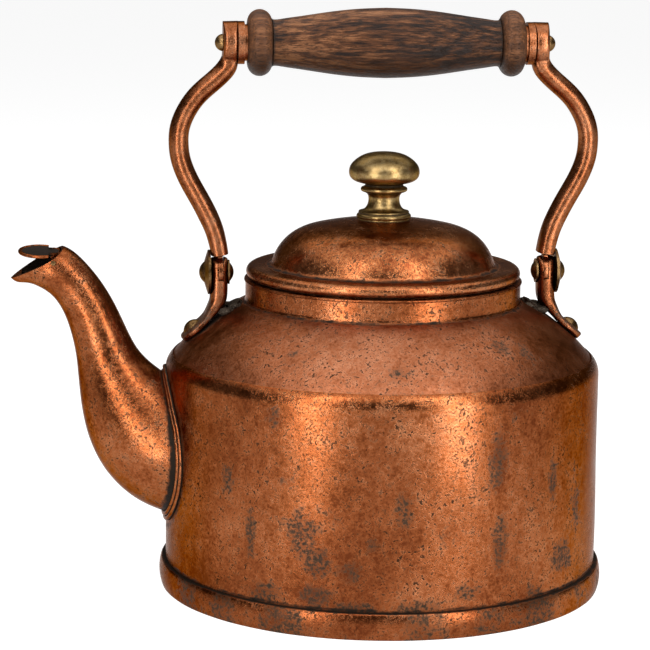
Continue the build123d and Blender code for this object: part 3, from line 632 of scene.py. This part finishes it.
p = places(wall)
brush(wall, "grime_and_shade", np.maximum.reduce([
    near_band(p[:, 2] + rough_edge(p, 0.7), ring_height + 0.2, 2.2, 3.0) * 0.80,
    # The band at the crease is painted shade: a dark line along the groove where the shoulder is let in.
    0.62 * near_band(p[:, 2] + rough_edge(p, 0.3), crease_height + 0.2, 1.0, 0.7),
    0.62 * fade(np.abs(root_distance(p) - 1.5), 4.0)]))
p = places(shoulder)
radius = np.hypot(p[:, 0], p[:, 1])
ear_gap = np.hypot(np.abs(p[:, 0]) - 79, p[:, 1] * 0.9)
brush(shoulder, "grime_and_shade", np.maximum.reduce([
    # Grime at the collar's foot and round the ears' feet; at the edge by the crease this is painted shade.
    0.80 * fade(radius + rough_edge(p, 0.6) - (collar_radius + 0.4), 2.2),
    0.8 * fade(radius - 94.2, 1.3), 0.85 * fade(ear_gap - 6.0, 8.0)]))
p = places(collar)
# Grime at the collar's foot; the band at its top lip is painted shade under the lid's rim.
brush(collar, "grime_and_shade", np.maximum(0.75 * near_band(p[:, 2] + rough_edge(p, 0.3), collar_foot, 1.2, 3.0),
                                  0.5 * near_band(p[:, 2], collar_top, 1.0, 0.4)))
p = places(ring)
radius = np.hypot(p[:, 0], p[:, 1])
upper_edge = 0.9 * fade(p[:, 2] - ring_height, 0.8) * (radius < 99.0)
# Grime along the ring's upper edge at the wall; the band at its foot is painted shade where it stands on the
# floor.
brush(ring, "grime_and_shade", np.maximum(upper_edge, 0.5 * fade(p[:, 2], 1.2)))
a = np.arctan2(p[:, 1], p[:, 0])
brush(ring, "stain", 0.40 + 0.30 * np.sin(3 * a + 1) * np.sin(8 * a) + 0.2 * np.sin(21 * a + 2))
p = places(lid)
radius = np.hypot(p[:, 0], p[:, 1])
# Under the rim's bead this is painted shade; the corner at the dome's foot and the ring round the knob's seat
# are darkened as well.
brush(lid, "grime_and_shade", np.maximum.reduce([
    0.8 * fade(radius + rough_edge(p, 0.35) - 51.2, 2.4) * (p[:, 2] > rim_top - 0.8),
    0.8 * fade(p[:, 2] - (bead_height - 2.7), 1.6) * (radius > 55),
    0.6 * fade(radius - 12.2, 1.8) * (p[:, 2] > 150)]))
p = places(spout)
course = smooth_through(stations[:, [0, 2, 1]], 200)
away = p[:, None, [0, 2]] - course[None, :, [0, 2]]
nearest = np.argmin((away**2).sum(axis=2), axis=1)
away = away[np.arange(len(p)), nearest]
facing = np.empty(len(p) * 3, np.float32)
spout.data.vertices.foreach_get("normal", facing)
facing = facing.reshape(-1, 3)
inner_wall = (facing[:, 0] * away[:, 0] + facing[:, 1] * p[:, 1] + facing[:, 2] * away[:, 1]) < -0.5
# Grime round the root; the inside of the tube is darkened nearly to black, and below 92 mm the neck gets
# painted shade, darker towards the bottom.
brush(spout, "grime_and_shade", np.maximum(0.85 * fade(np.hypot(p[:, 0], p[:, 1]) + rough_edge(p, 0.2) - 98.4, 3.4),
                                 0.95 * inner_wall) + 0.35 * np.clip((92 - p[:, 2]) / 30, 0, 1))
for piece, low in ((flange, 97.3), (seam, 98.0)):
    p = places(piece)
    brush(piece, "grime_and_shade", 0.95 * fade(np.clip(np.hypot(p[:, 0], p[:, 1]) - low, 0, None), 0.8))
for piece in arms.values():
    p = places(piece)
    brush(piece, "grime_and_shade", 0.5 * near_band(p[:, 2], 148.6, 1.2, 0.6))
for piece in ears.values():
    p = places(piece)
    lift = np.hypot(np.abs(p[:, 0]) - shoulder_center[0], p[:, 2] - shoulder_center[1]) - shoulder_radius
    seat = 0.9 * fade(np.clip(lift, 0, None), 1.1)
    brush(piece, "grime_and_shade", np.maximum(seat, 0.4 * fade(p[:, 2] - 148.2, 0.6)))
    brush(piece, "stain", 0.9 * fade(np.clip(3.6 - lift, 0, None), 3.0) * (np.abs(p[:, 0]) > 77))
p = (places(flap) - np.array(pin)) @ leaf_axes.T
from_center = np.hypot(p[:, 0] - flap_center, p[:, 1])
brush(flap, "grime_and_shade", np.clip((8.6 - from_center) / 0.8, 0, 1))
p = places(knob)
heights = p[:, 2] - knob_seat
# The knob is darkened in the hollow over its flange, under its ring, under its cap and at its seat.
brush(knob, "grime_and_shade", np.maximum.reduce([0.9 * fade(heights - 3.2, 0.8), 0.8 * fade(heights - 12.4, 0.6),
                                        fade(heights - 15.4, 0.9), fade(heights, 0.7)]))
p = places(grip)
bead_grime = np.maximum(0.9 * fade(np.abs(p[:, 0]) - 50.2, 1.2), 0.4 * fade(np.abs(p[:, 0]) - grip_half, 1.2))
# Painted shade darkens the grip's underside, most at its bottom; it is laid in with the grime at the beads.
underside_shade = np.clip(3 * (p[:, 2].mean() - p[:, 2]) / np.ptp(p[:, 2]), 0, 1)
brush(grip, "grime_and_shade", bead_grime + 0.80 * underside_shade)
brush(grip, "bead", (np.abs(p[:, 0]) > 50.2).astype(float))

# Stains: angle in degrees (270 faces the viewer), height, half-width, half-height and strength.
stains = np.array([
    (236.0, 92, 5, 6, 0.75), (244.0, 43, 7, 11, 1.0), (248.0, 32, 6, 7, 0.95), (229.0, 40, 3, 12, 0.9),
    (247.0, 17, 8, 5, 0.95), (256.0, 29, 6, 6, 0.8), (262.0, 41, 4, 5, 0.65), (269.5, 57, 4, 11, 0.75),
    (294.0, 72, 5, 14, 1.0), (295.0, 38, 4, 14, 1.0), (313.0, 61, 3, 9, 0.95), (318.0, 26, 8, 8, 0.95),
    (273.0, 13, 11, 4, 0.8), (286.0, 19, 7, 4, 0.7), (222.0, 62, 6, 8, 0.6), (325.0, 45, 5, 11, 0.7),
    (239.0, 66, 6, 4, 0.5), (300.0, 95, 8, 4, 0.5), (306.0, 14, 10, 4, 0.7), (233.0, 16, 9, 5, 0.75),
    (252.0, 52, 4, 4, 0.5), (281.0, 44, 5, 5, 0.5), (258.0, 12, 12, 4, 0.8), (120.0, 60, 8, 14, 0.9),
    (95.0, 30, 10, 8, 0.8), (60.0, 76, 5, 10, 0.9), (30.0, 40, 6, 12, 0.8), (150.0, 88, 9, 6, 0.6),
    (5.0, 80, 4, 9, 0.7), (350.0, 22, 8, 7, 0.9), (75.0, 18, 12, 5, 0.8), (130.0, 20, 9, 6, 0.7)])
# On the shoulder the second number is the radius instead of the height.
shoulder_stains = np.array([(303.0, 78, 4, 3, 1.0), (268.0, 86, 5, 3.5, 0.7), (236.0, 82, 5, 4, 0.6),
                            (312.0, 84, 8, 5, 0.5), (150.0, 80, 6, 5, 0.7), (80.0, 75, 7, 4, 0.6),
                            (30.0, 86, 6, 4, 0.7)])


def blotch(piece, p, level, table, around):
    """Brushes ovals: each fades with the distance from its middle, measured in its own half sizes."""
    angle = np.degrees(np.arctan2(p[:, 1], p[:, 0])) % 360
    gap = ((angle[:, None] - table[:, 0] + 180) % 360 - 180) * math.radians(1) * around
    away = np.hypot(gap / table[:, 2], (level[:, None] - table[:, 1]) / table[:, 3])
    brush(piece, "stain", (table[:, 4] * fade(away / 1.7, 1)).max(axis=1))


p = places(wall)
blotch(wall, p, p[:, 2], stains, body_radius)
p = places(shoulder)
blotch(shoulder, p, np.hypot(p[:, 0], p[:, 1]), shoulder_stains, 80)
print("stains", len(stains) + len(shoulder_stains))

# %% [markdown]
# ## Shared effects
# Old copper shows the same three things at three scales: slow clouds of heat colour, a brown
# mottle, and fine pits. One node group works them out for every metal, with sizes as inputs.

# %% Node helpers
def graph(name, outputs, inputs):
    """Empty shader group with named float or vector sockets."""
    tree = bpy.data.node_groups.new(name, "ShaderNodeTree")
    for label, kind, value in inputs:
        made = tree.interface.new_socket(label, in_out="INPUT", socket_type=kind)
        if value is not None:
            made.default_value = value
    for label, kind in outputs:
        tree.interface.new_socket(label, in_out="OUTPUT", socket_type=kind)
    return tree, tree.nodes.new("NodeGroupInput"), tree.nodes.new("NodeGroupOutput")


def noise(tree, vector, scale, detail=4.0, rough=0.55, factor=None):
    """Noise texture; factor names a socket that multiplies its scale."""
    node = tree.nodes.new("ShaderNodeTexNoise")
    node.inputs["Scale"].default_value = scale
    node.inputs["Detail"].default_value = detail
    node.inputs["Roughness"].default_value = rough
    tree.links.new(vector, node.inputs["Vector"])
    if factor is not None:
        tree.links.new(calc(tree, "MULTIPLY", factor, scale), node.inputs["Scale"])
    return node.outputs["Fac"]


def calc(tree, operation, first, second):
    """Math node of two sockets or numbers."""
    node = tree.nodes.new("ShaderNodeMath")
    node.operation = operation
    for slot, value in enumerate((first, second)):
        if isinstance(value, (int, float)):
            node.inputs[slot].default_value = value
        else:
            tree.links.new(value, node.inputs[slot])
    return node.outputs[0]


def painted(tree, layer):
    """Reads the numbers that were brushed on the piece under this name."""
    node = tree.nodes.new("ShaderNodeAttribute")
    node.attribute_name = layer
    return node.outputs["Fac"]


def ramp(tree, value, low, high):
    """Smooth step of a value from 0 at low to 1 at high."""
    node = tree.nodes.new("ShaderNodeMapRange")
    node.interpolation_type = "SMOOTHSTEP"
    tree.links.new(value, node.inputs["Value"])
    node.inputs["From Min"].default_value, node.inputs["From Max"].default_value = low, high
    return node.outputs["Result"]


def blend(tree, factor, first, second):
    """Colour mix; first and second are sockets or colours."""
    node = tree.nodes.new("ShaderNodeMix")
    node.data_type = "RGBA"
    tree.links.new(factor, node.inputs["Factor"])
    for label, value in (("A", first), ("B", second)):
        socket = [s for s in node.inputs if s.name == label and s.type == "RGBA"][0]
        if isinstance(value, tuple):
            socket.default_value = (*value, 1)
        else:
            tree.links.new(value, socket)
    return [s for s in node.outputs if s.type == "RGBA"][0]


# %% Group: clouds, mottle, pits
def make_patina():
    """Clouds and mottle are plain noise, pits the high tips of fine noise, and grain breaks up stains."""
    masks = ("Clouds", "Mottle", "Pits", "Oxide", "GrimeAndShade", "Relief", "Sand")
    tree, given, out = graph("patina", [(label, "NodeSocketFloat") for label in masks],
                             [("Place", "NodeSocketVector", None), ("Size", "NodeSocketFloat", 1.0),
                              ("Stain", "NodeSocketFloat", 0.0), ("DirtAndShade", "NodeSocketFloat", 0.0)])
    place, size = given.outputs["Place"], given.outputs["Size"]
    clouds = noise(tree, place, 17.0, 3.0, 0.5, size)
    mottle = noise(tree, place, 95.0, 8.0, 0.68, size)
    fine = noise(tree, place, 760.0, 3.0, 0.6, size)
    speck = noise(tree, place, 1300.0, 2.0, 0.5, size)
    coarse = noise(tree, place, 230.0, 6.0, 0.7, size)
    pits = calc(tree, "MULTIPLY", ramp(tree, fine, 0.53, 0.64), ramp(tree, mottle, 0.40, 0.62))
    small_pits = calc(tree, "MULTIPLY", ramp(tree, speck, 0.54, 0.68), ramp(tree, coarse, 0.40, 0.66))
    pits = calc(tree, "MAXIMUM", pits, small_pits)
    grain = calc(tree, "ADD", calc(tree, "MULTIPLY", coarse, 0.75), calc(tree, "MULTIPLY", mottle, 0.45))
    wanted = calc(tree, "ADD", grain, calc(tree, "MULTIPLY", given.outputs["Stain"], 0.34))
    free = ramp(tree, noise(tree, place, 42.0, 5.0, 0.6, size), 0.60, 0.72)
    wanted = calc(tree, "ADD", wanted, calc(tree, "MULTIPLY", free, 0.12))
    dots = calc(tree, "ADD", 0.25, calc(tree, "MULTIPLY", ramp(tree, fine, 0.38, 0.56), 0.75))
    oxide = calc(tree, "MULTIPLY", ramp(tree, wanted, 0.69, 0.88), dots)
    # The brushed layer of grime and painted shade is broken up by the grain.
    uneven = calc(tree, "MULTIPLY", calc(tree, "SUBTRACT", grain, 0.6), 1.5)
    dirt_and_shade = calc(tree, "ADD", given.outputs["DirtAndShade"], uneven)
    grime_and_shade = calc(tree, "MULTIPLY", ramp(tree, dirt_and_shade, 0.36, 0.86), ramp(tree, given.outputs["DirtAndShade"], 0.0, 0.30))
    sand = calc(tree, "ADD", calc(tree, "MULTIPLY", fine, 0.30), calc(tree, "MULTIPLY", coarse, 0.35))
    relief = calc(tree, "SUBTRACT", calc(tree, "ADD", calc(tree, "MULTIPLY", mottle, 0.45), sand),
                  calc(tree, "MULTIPLY", pits, 0.50))
    for label, value in zip(masks, (clouds, mottle, pits, oxide, grime_and_shade, relief, sand)):
        tree.links.new(value, out.inputs[label])
    return tree


patina = make_patina()
print("patina group", len(patina.nodes), "nodes")

# %% [markdown]
# ## Metals
# Each metal lays its own colours over the shared masks. Bare copper is fully metallic; stains
# and grime are dull films over it, and the painted shade laid in with the grime is treated the same,
# so they lower the metal share and raise the roughness.

# %% Metal finish
def metal(name, deep, bare, bright, stain_color, grime_and_shade_color, rough, size=1.0, stain_all=0.0, pits=0.75,
          bump=0.2):
    """Deep, bare and bright copper follow clouds, mottle and sand; pits, stains, grime and painted shade go
    on top.
    """
    material = bpy.data.materials.new(name)
    material.use_nodes = True
    tree = material.node_tree
    shader = tree.nodes["Principled BSDF"]
    shader.inputs["Specular Tint"].default_value = (0.52, 0.42, 0.37, 1)
    place = tree.nodes.new("ShaderNodeTexCoord").outputs["Object"]
    group = tree.nodes.new("ShaderNodeGroup")
    group.node_tree = patina
    tree.links.new(place, group.inputs["Place"])
    group.inputs["Size"].default_value = size
    tree.links.new(calc(tree, "ADD", painted(tree, "stain"), stain_all), group.inputs["Stain"])
    tree.links.new(painted(tree, "grime_and_shade"), group.inputs["DirtAndShade"])
    tone = calc(tree, "ADD", calc(tree, "MULTIPLY", group.outputs["Clouds"], 0.34),
                calc(tree, "MULTIPLY", group.outputs["Mottle"], 0.28))
    sand = calc(tree, "SUBTRACT", group.outputs["Sand"], 0.32)
    tone = calc(tree, "ADD", tone, calc(tree, "MULTIPLY", sand, 0.85))
    color = blend(tree, ramp(tree, tone, 0.20, 0.33), deep, bare)
    color = blend(tree, ramp(tree, tone, 0.29, 0.46), color, bright)
    color = blend(tree, calc(tree, "MULTIPLY", group.outputs["Pits"], pits), color, grime_and_shade_color)
    color = blend(tree, calc(tree, "MULTIPLY", group.outputs["Oxide"], 0.90), color, stain_color)
    color = blend(tree, group.outputs["GrimeAndShade"], color, grime_and_shade_color)
    tree.links.new(color, shader.inputs["Base Color"])
    dull = calc(tree, "MAXIMUM", calc(tree, "MULTIPLY", group.outputs["Oxide"], 0.75),
                calc(tree, "MULTIPLY", group.outputs["GrimeAndShade"], 0.9))
    tree.links.new(calc(tree, "SUBTRACT", 1.0, calc(tree, "MULTIPLY", dull, 0.5)), shader.inputs["Metallic"])
    base = calc(tree, "ADD", rough - 0.08, calc(tree, "MULTIPLY", group.outputs["Mottle"], 0.16))
    tree.links.new(calc(tree, "ADD", base, calc(tree, "MULTIPLY", dull, 0.35)), shader.inputs["Roughness"])
    raised = tree.nodes.new("ShaderNodeBump")
    raised.inputs["Strength"].default_value = bump
    raised.inputs["Distance"].default_value = 0.0006
    tree.links.new(group.outputs["Relief"], raised.inputs["Height"])
    tree.links.new(raised.outputs["Normal"], shader.inputs["Normal"])
    return material


copper = metal("aged_copper", (0.115, 0.027, 0.008), (0.250, 0.070, 0.022), (0.430, 0.160, 0.068),
               (0.034, 0.023, 0.014), (0.012, 0.008, 0.005), rough=0.25, bump=0.34, pits=0.9)
shoulder_copper = metal("matte_copper", (0.120, 0.034, 0.013), (0.270, 0.086, 0.036), (0.420, 0.170, 0.088),
                        (0.036, 0.025, 0.016), (0.014, 0.009, 0.006), rough=0.36, bump=0.34, pits=0.9)
# The lid's copper is the body's copper laid about a third brighter: painted light for the sheen on the dome.
lid_copper_painted_sheen = metal("lid_copper_painted_sheen", (0.150, 0.038, 0.013), (0.350, 0.118, 0.044), (0.540, 0.240, 0.120),
                   (0.036, 0.025, 0.016), (0.014, 0.009, 0.006), rough=0.26, bump=0.34, pits=0.9)
forged = metal("forged_copper", (0.090, 0.026, 0.010), (0.240, 0.076, 0.028), (0.430, 0.180, 0.090),
               (0.070, 0.046, 0.031), (0.020, 0.013, 0.008), rough=0.28, size=1.5)
brass = metal("olive_brass", (0.095, 0.060, 0.020), (0.250, 0.160, 0.060), (0.430, 0.310, 0.145),
              (0.060, 0.042, 0.022), (0.028, 0.018, 0.009), rough=0.30, size=1.5, pits=0.5)
dark_brass = metal("rivet_brass", (0.055, 0.030, 0.012), (0.170, 0.096, 0.038), (0.340, 0.215, 0.100),
                   (0.040, 0.028, 0.018), (0.018, 0.011, 0.007), rough=0.32, size=2.0)
solder_gray = metal("solder_gray", (0.030, 0.024, 0.018), (0.085, 0.066, 0.050), (0.160, 0.125, 0.095),
                    (0.040, 0.032, 0.024), (0.012, 0.009, 0.006), rough=0.55, size=2.2, stain_all=0.5,
                    bump=0.6)
metals = (copper, shoulder_copper, lid_copper_painted_sheen, forged, brass, dark_brass, solder_gray)
print("metals", [one.name for one in metals])

# %% [markdown]
# ## Wood
# The grip is dark, waxed hardwood. Its grain runs along the turning axis, so the noise is
# squeezed along X: long fibres from one stretched noise, open pores from a finer one.

# %% Wood finish
def wood(name):
    """Fibres: noise stretched 10 times along X. Pores: the high tips of a finer, longer noise."""
    material = bpy.data.materials.new(name)
    material.use_nodes = True
    tree = material.node_tree
    shader = tree.nodes["Principled BSDF"]
    place = tree.nodes.new("ShaderNodeTexCoord").outputs["Object"]
    stretch = tree.nodes.new("ShaderNodeMapping")
    stretch.inputs["Scale"].default_value = (0.10, 1.0, 1.0)
    tree.links.new(place, stretch.inputs["Vector"])
    fibre = noise(tree, stretch.outputs["Vector"], 760.0, 6.0, 0.66)
    band = noise(tree, stretch.outputs["Vector"], 170.0, 3.0, 0.5)
    pore = ramp(tree, noise(tree, stretch.outputs["Vector"], 1900.0, 3.0, 0.6), 0.53, 0.64)
    tone = calc(tree, "ADD", calc(tree, "MULTIPLY", fibre, 0.6), calc(tree, "MULTIPLY", band, 0.5))
    color = blend(tree, ramp(tree, tone, 0.46, 0.60), (0.010, 0.004, 0.002), (0.085, 0.030, 0.010))
    color = blend(tree, ramp(tree, tone, 0.56, 0.68), color, (0.210, 0.088, 0.036))
    color = blend(tree, calc(tree, "MULTIPLY", painted(tree, "bead"), 0.45), color, (0.140, 0.056, 0.024))
    color = blend(tree, calc(tree, "MULTIPLY", pore, 0.70), color, (0.010, 0.005, 0.002))
    # This layer holds the grime at the beads and the painted shade on the grip's underside.
    color = blend(tree, calc(tree, "MULTIPLY", painted(tree, "grime_and_shade"), 0.8), color, (0.010, 0.006, 0.004))
    tree.links.new(color, shader.inputs["Base Color"])
    shader.inputs["Specular IOR Level"].default_value = 0.16
    tree.links.new(calc(tree, "ADD", 0.32, calc(tree, "MULTIPLY", fibre, 0.30)), shader.inputs["Roughness"])
    raised = tree.nodes.new("ShaderNodeBump")
    raised.inputs["Strength"].default_value = 0.5
    raised.inputs["Distance"].default_value = 0.0005
    tree.links.new(calc(tree, "SUBTRACT", fibre, pore), raised.inputs["Height"])
    tree.links.new(raised.outputs["Normal"], shader.inputs["Normal"])
    return material


walnut = wood("waxed_hardwood")
print("wood", len(walnut.node_tree.nodes), "nodes")

# %% [markdown]
# ## Pieces to bodies
# Every worked piece takes a finish, replaces its CAD node and rides that node's body.

# %% Dress the pieces
dressing = [
    (wall, copper, "body_wall", "vessel", "copper"),
    (shoulder, shoulder_copper, "shoulder", "vessel", "copper"),
    (collar, copper, "collar", "vessel", "copper"),
    (ring, copper, "base_ring", "vessel", "copper"),
    (spout, copper, "spout", "vessel", "copper"),
    (flange, copper, "spout_root_ring", "vessel", "copper"),
    (lid, lid_copper_painted_sheen, "lid_shell", "lid", "copper"),
    (knob, brass, "knob", "lid", "aged_brass"),
    (arms["left"], forged, "left_arm", "handle", "polished_copper"),
    (arms["right"], forged, "right_arm", "handle", "polished_copper"),
    (ears["left"], forged, "left_ear", "vessel", "polished_copper"),
    (ears["right"], forged, "right_ear", "vessel", "polished_copper"),
    (flap, copper, "spout_flap", "flap", "copper"),
    (grip, walnut, "grip", "handle_grip", "dark_wood"),
]
for piece, finish, node, body, slot in dressing:
    piece.data.materials.append(finish)
    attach(piece, body)
    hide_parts(node)

extras = [(knuckle, copper, "flap", "copper"), (seam, copper, "vessel", "copper")]
extras += [(piece, solder_gray, "vessel", "copper") for piece in solder]
for piece, finish, body, slot in extras:
    piece.data.materials.append(finish)
    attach(piece, body)

replaced = {node for _, _, node, _, _ in dressing}
for name, node in nodes.items():
    if name in replaced:
        continue
    kept = copper
    for word, finish in (("rivet", dark_brass), ("washer", dark_brass), ("tie_rod", dark_brass),
                         ("flap_pin", dark_brass), ("stay", solder_gray), ("ferrule", forged)):
        if word in name:
            kept = finish
    for place in node.material_slots:
        place.material = kept
print("dressed", len(dressing), "pieces and", len(nodes) - len(replaced), "CAD nodes")

# %% [markdown]
# ## Studio
# A plain pale floor, two tall soft boxes in front to the left and right, and a broad soft light
# above. The boxes are what the copper mirrors as its two long bands.

# %% Floor
def floor_finish():
    """Diffuse white, with a little plain white added for the eye and for mirror images of the floor."""
    material = bpy.data.materials.new("pale_floor")
    material.use_nodes = True
    tree = material.node_tree
    tree.nodes.clear()
    out, diffuse, glow, total = (tree.nodes.new(kind) for kind in (
        "ShaderNodeOutputMaterial", "ShaderNodeBsdfDiffuse", "ShaderNodeEmission", "ShaderNodeAddShader"))
    diffuse.inputs["Color"].default_value = (0.32, 0.32, 0.32, 1)
    path = tree.nodes.new("ShaderNodeLightPath")
    seen = calc(tree, "MAXIMUM", path.outputs["Is Camera Ray"], path.outputs["Is Glossy Ray"])
    seen = calc(tree, "MAXIMUM", seen, path.outputs["Is Transmission Ray"])
    tree.links.new(calc(tree, "MULTIPLY", seen, 0.90), glow.inputs["Strength"])
    tree.links.new(diffuse.outputs[0], total.inputs[0])
    tree.links.new(glow.outputs[0], total.inputs[1])
    tree.links.new(total.outputs[0], out.inputs["Surface"])
    return material


a = np.linspace(0, 2 * np.pi, 64, endpoint=False)
floor_mesh = bpy.data.meshes.new("floor")
floor_points = np.stack([30 * np.cos(a), 30 * np.sin(a), 0 * a - 0.0001], axis=1)
floor_mesh.from_pydata(floor_points.tolist(), [], [list(range(64))])
floor = bpy.data.objects.new("floor", floor_mesh)
bpy.context.scene.collection.objects.link(floor)
floor_mesh.materials.append(floor_finish())

# %% Lights
def soft_box(name, azimuth, distance, height, width, tall, radiance):
    """Upright area lamp that faces the kettle's axis, or looks down on it when it hangs over 1 m;
    its power is radiance times pi times its area."""
    data = bpy.data.lights.new(name, "AREA")
    data.shape, data.size, data.size_y = "RECTANGLE", width, tall
    data.energy = radiance * math.pi * width * tall
    lamp = bpy.data.objects.new(name, data)
    way = math.radians(azimuth)
    lamp.location = (distance * math.cos(way), distance * math.sin(way), height)
    aim = Vector((0, 0, 0.12 if height > 1 else height))
    lamp.rotation_euler = (aim - lamp.location).to_track_quat("-Z", "Y").to_euler()
    lamp.visible_camera = False
    bpy.context.scene.collection.objects.link(lamp)
    return lamp


soft_box("box_left", 231.4, 0.443, 0.42, 0.100, 0.84, 8.4)
soft_box("box_right", 300.2, 0.442, 0.42, 0.120, 0.84, 7.4)
soft_box("box_above", 262.0, 0.05, 1.30, 2.40, 2.40, 1.60)
world = bpy.data.worlds.new("studio")
world.use_nodes = True
world.node_tree.nodes["Background"].inputs["Color"].default_value = (1, 1, 1, 1)
world.node_tree.nodes["Background"].inputs["Strength"].default_value = 0.12
bpy.context.scene.world = world

# %% [markdown]
# ## Camera
# The photograph was taken from about 1.1 metres, a hand's width above the knob, with a long lens
# and a very slight tilt of the frame.

# %% Camera
yaw, pitch, tilt = 0.0923656, 0.178726, 0.0096121
forward = Vector((math.sin(yaw) * math.cos(pitch), math.cos(yaw) * math.cos(pitch), -math.sin(pitch)))
right = Vector((math.cos(yaw), -math.sin(yaw), 0))
up = right.cross(forward)
right, up = math.cos(tilt) * right + math.sin(tilt) * up, math.cos(tilt) * up - math.sin(tilt) * right
camera_data = bpy.data.cameras.new("camera")
camera_data.sensor_width, camera_data.lens, camera_data.sensor_fit = 36.0, 139.94, "HORIZONTAL"
camera_data.clip_start, camera_data.clip_end = 0.05, 100
camera = bpy.data.objects.new("camera", camera_data)
turn = Matrix((right, up, -forward)).transposed().to_4x4()
camera.matrix_world = Matrix.Translation((-0.12834, -1.10747, 0.31739)) @ turn
bpy.context.scene.collection.objects.link(camera)
bpy.context.scene.camera = camera

# %% [markdown]
# ## Close
# The view settings stay plain, so a colour renders about as it is written.

# %% Finish
bpy.context.scene.view_settings.view_transform = "Standard"
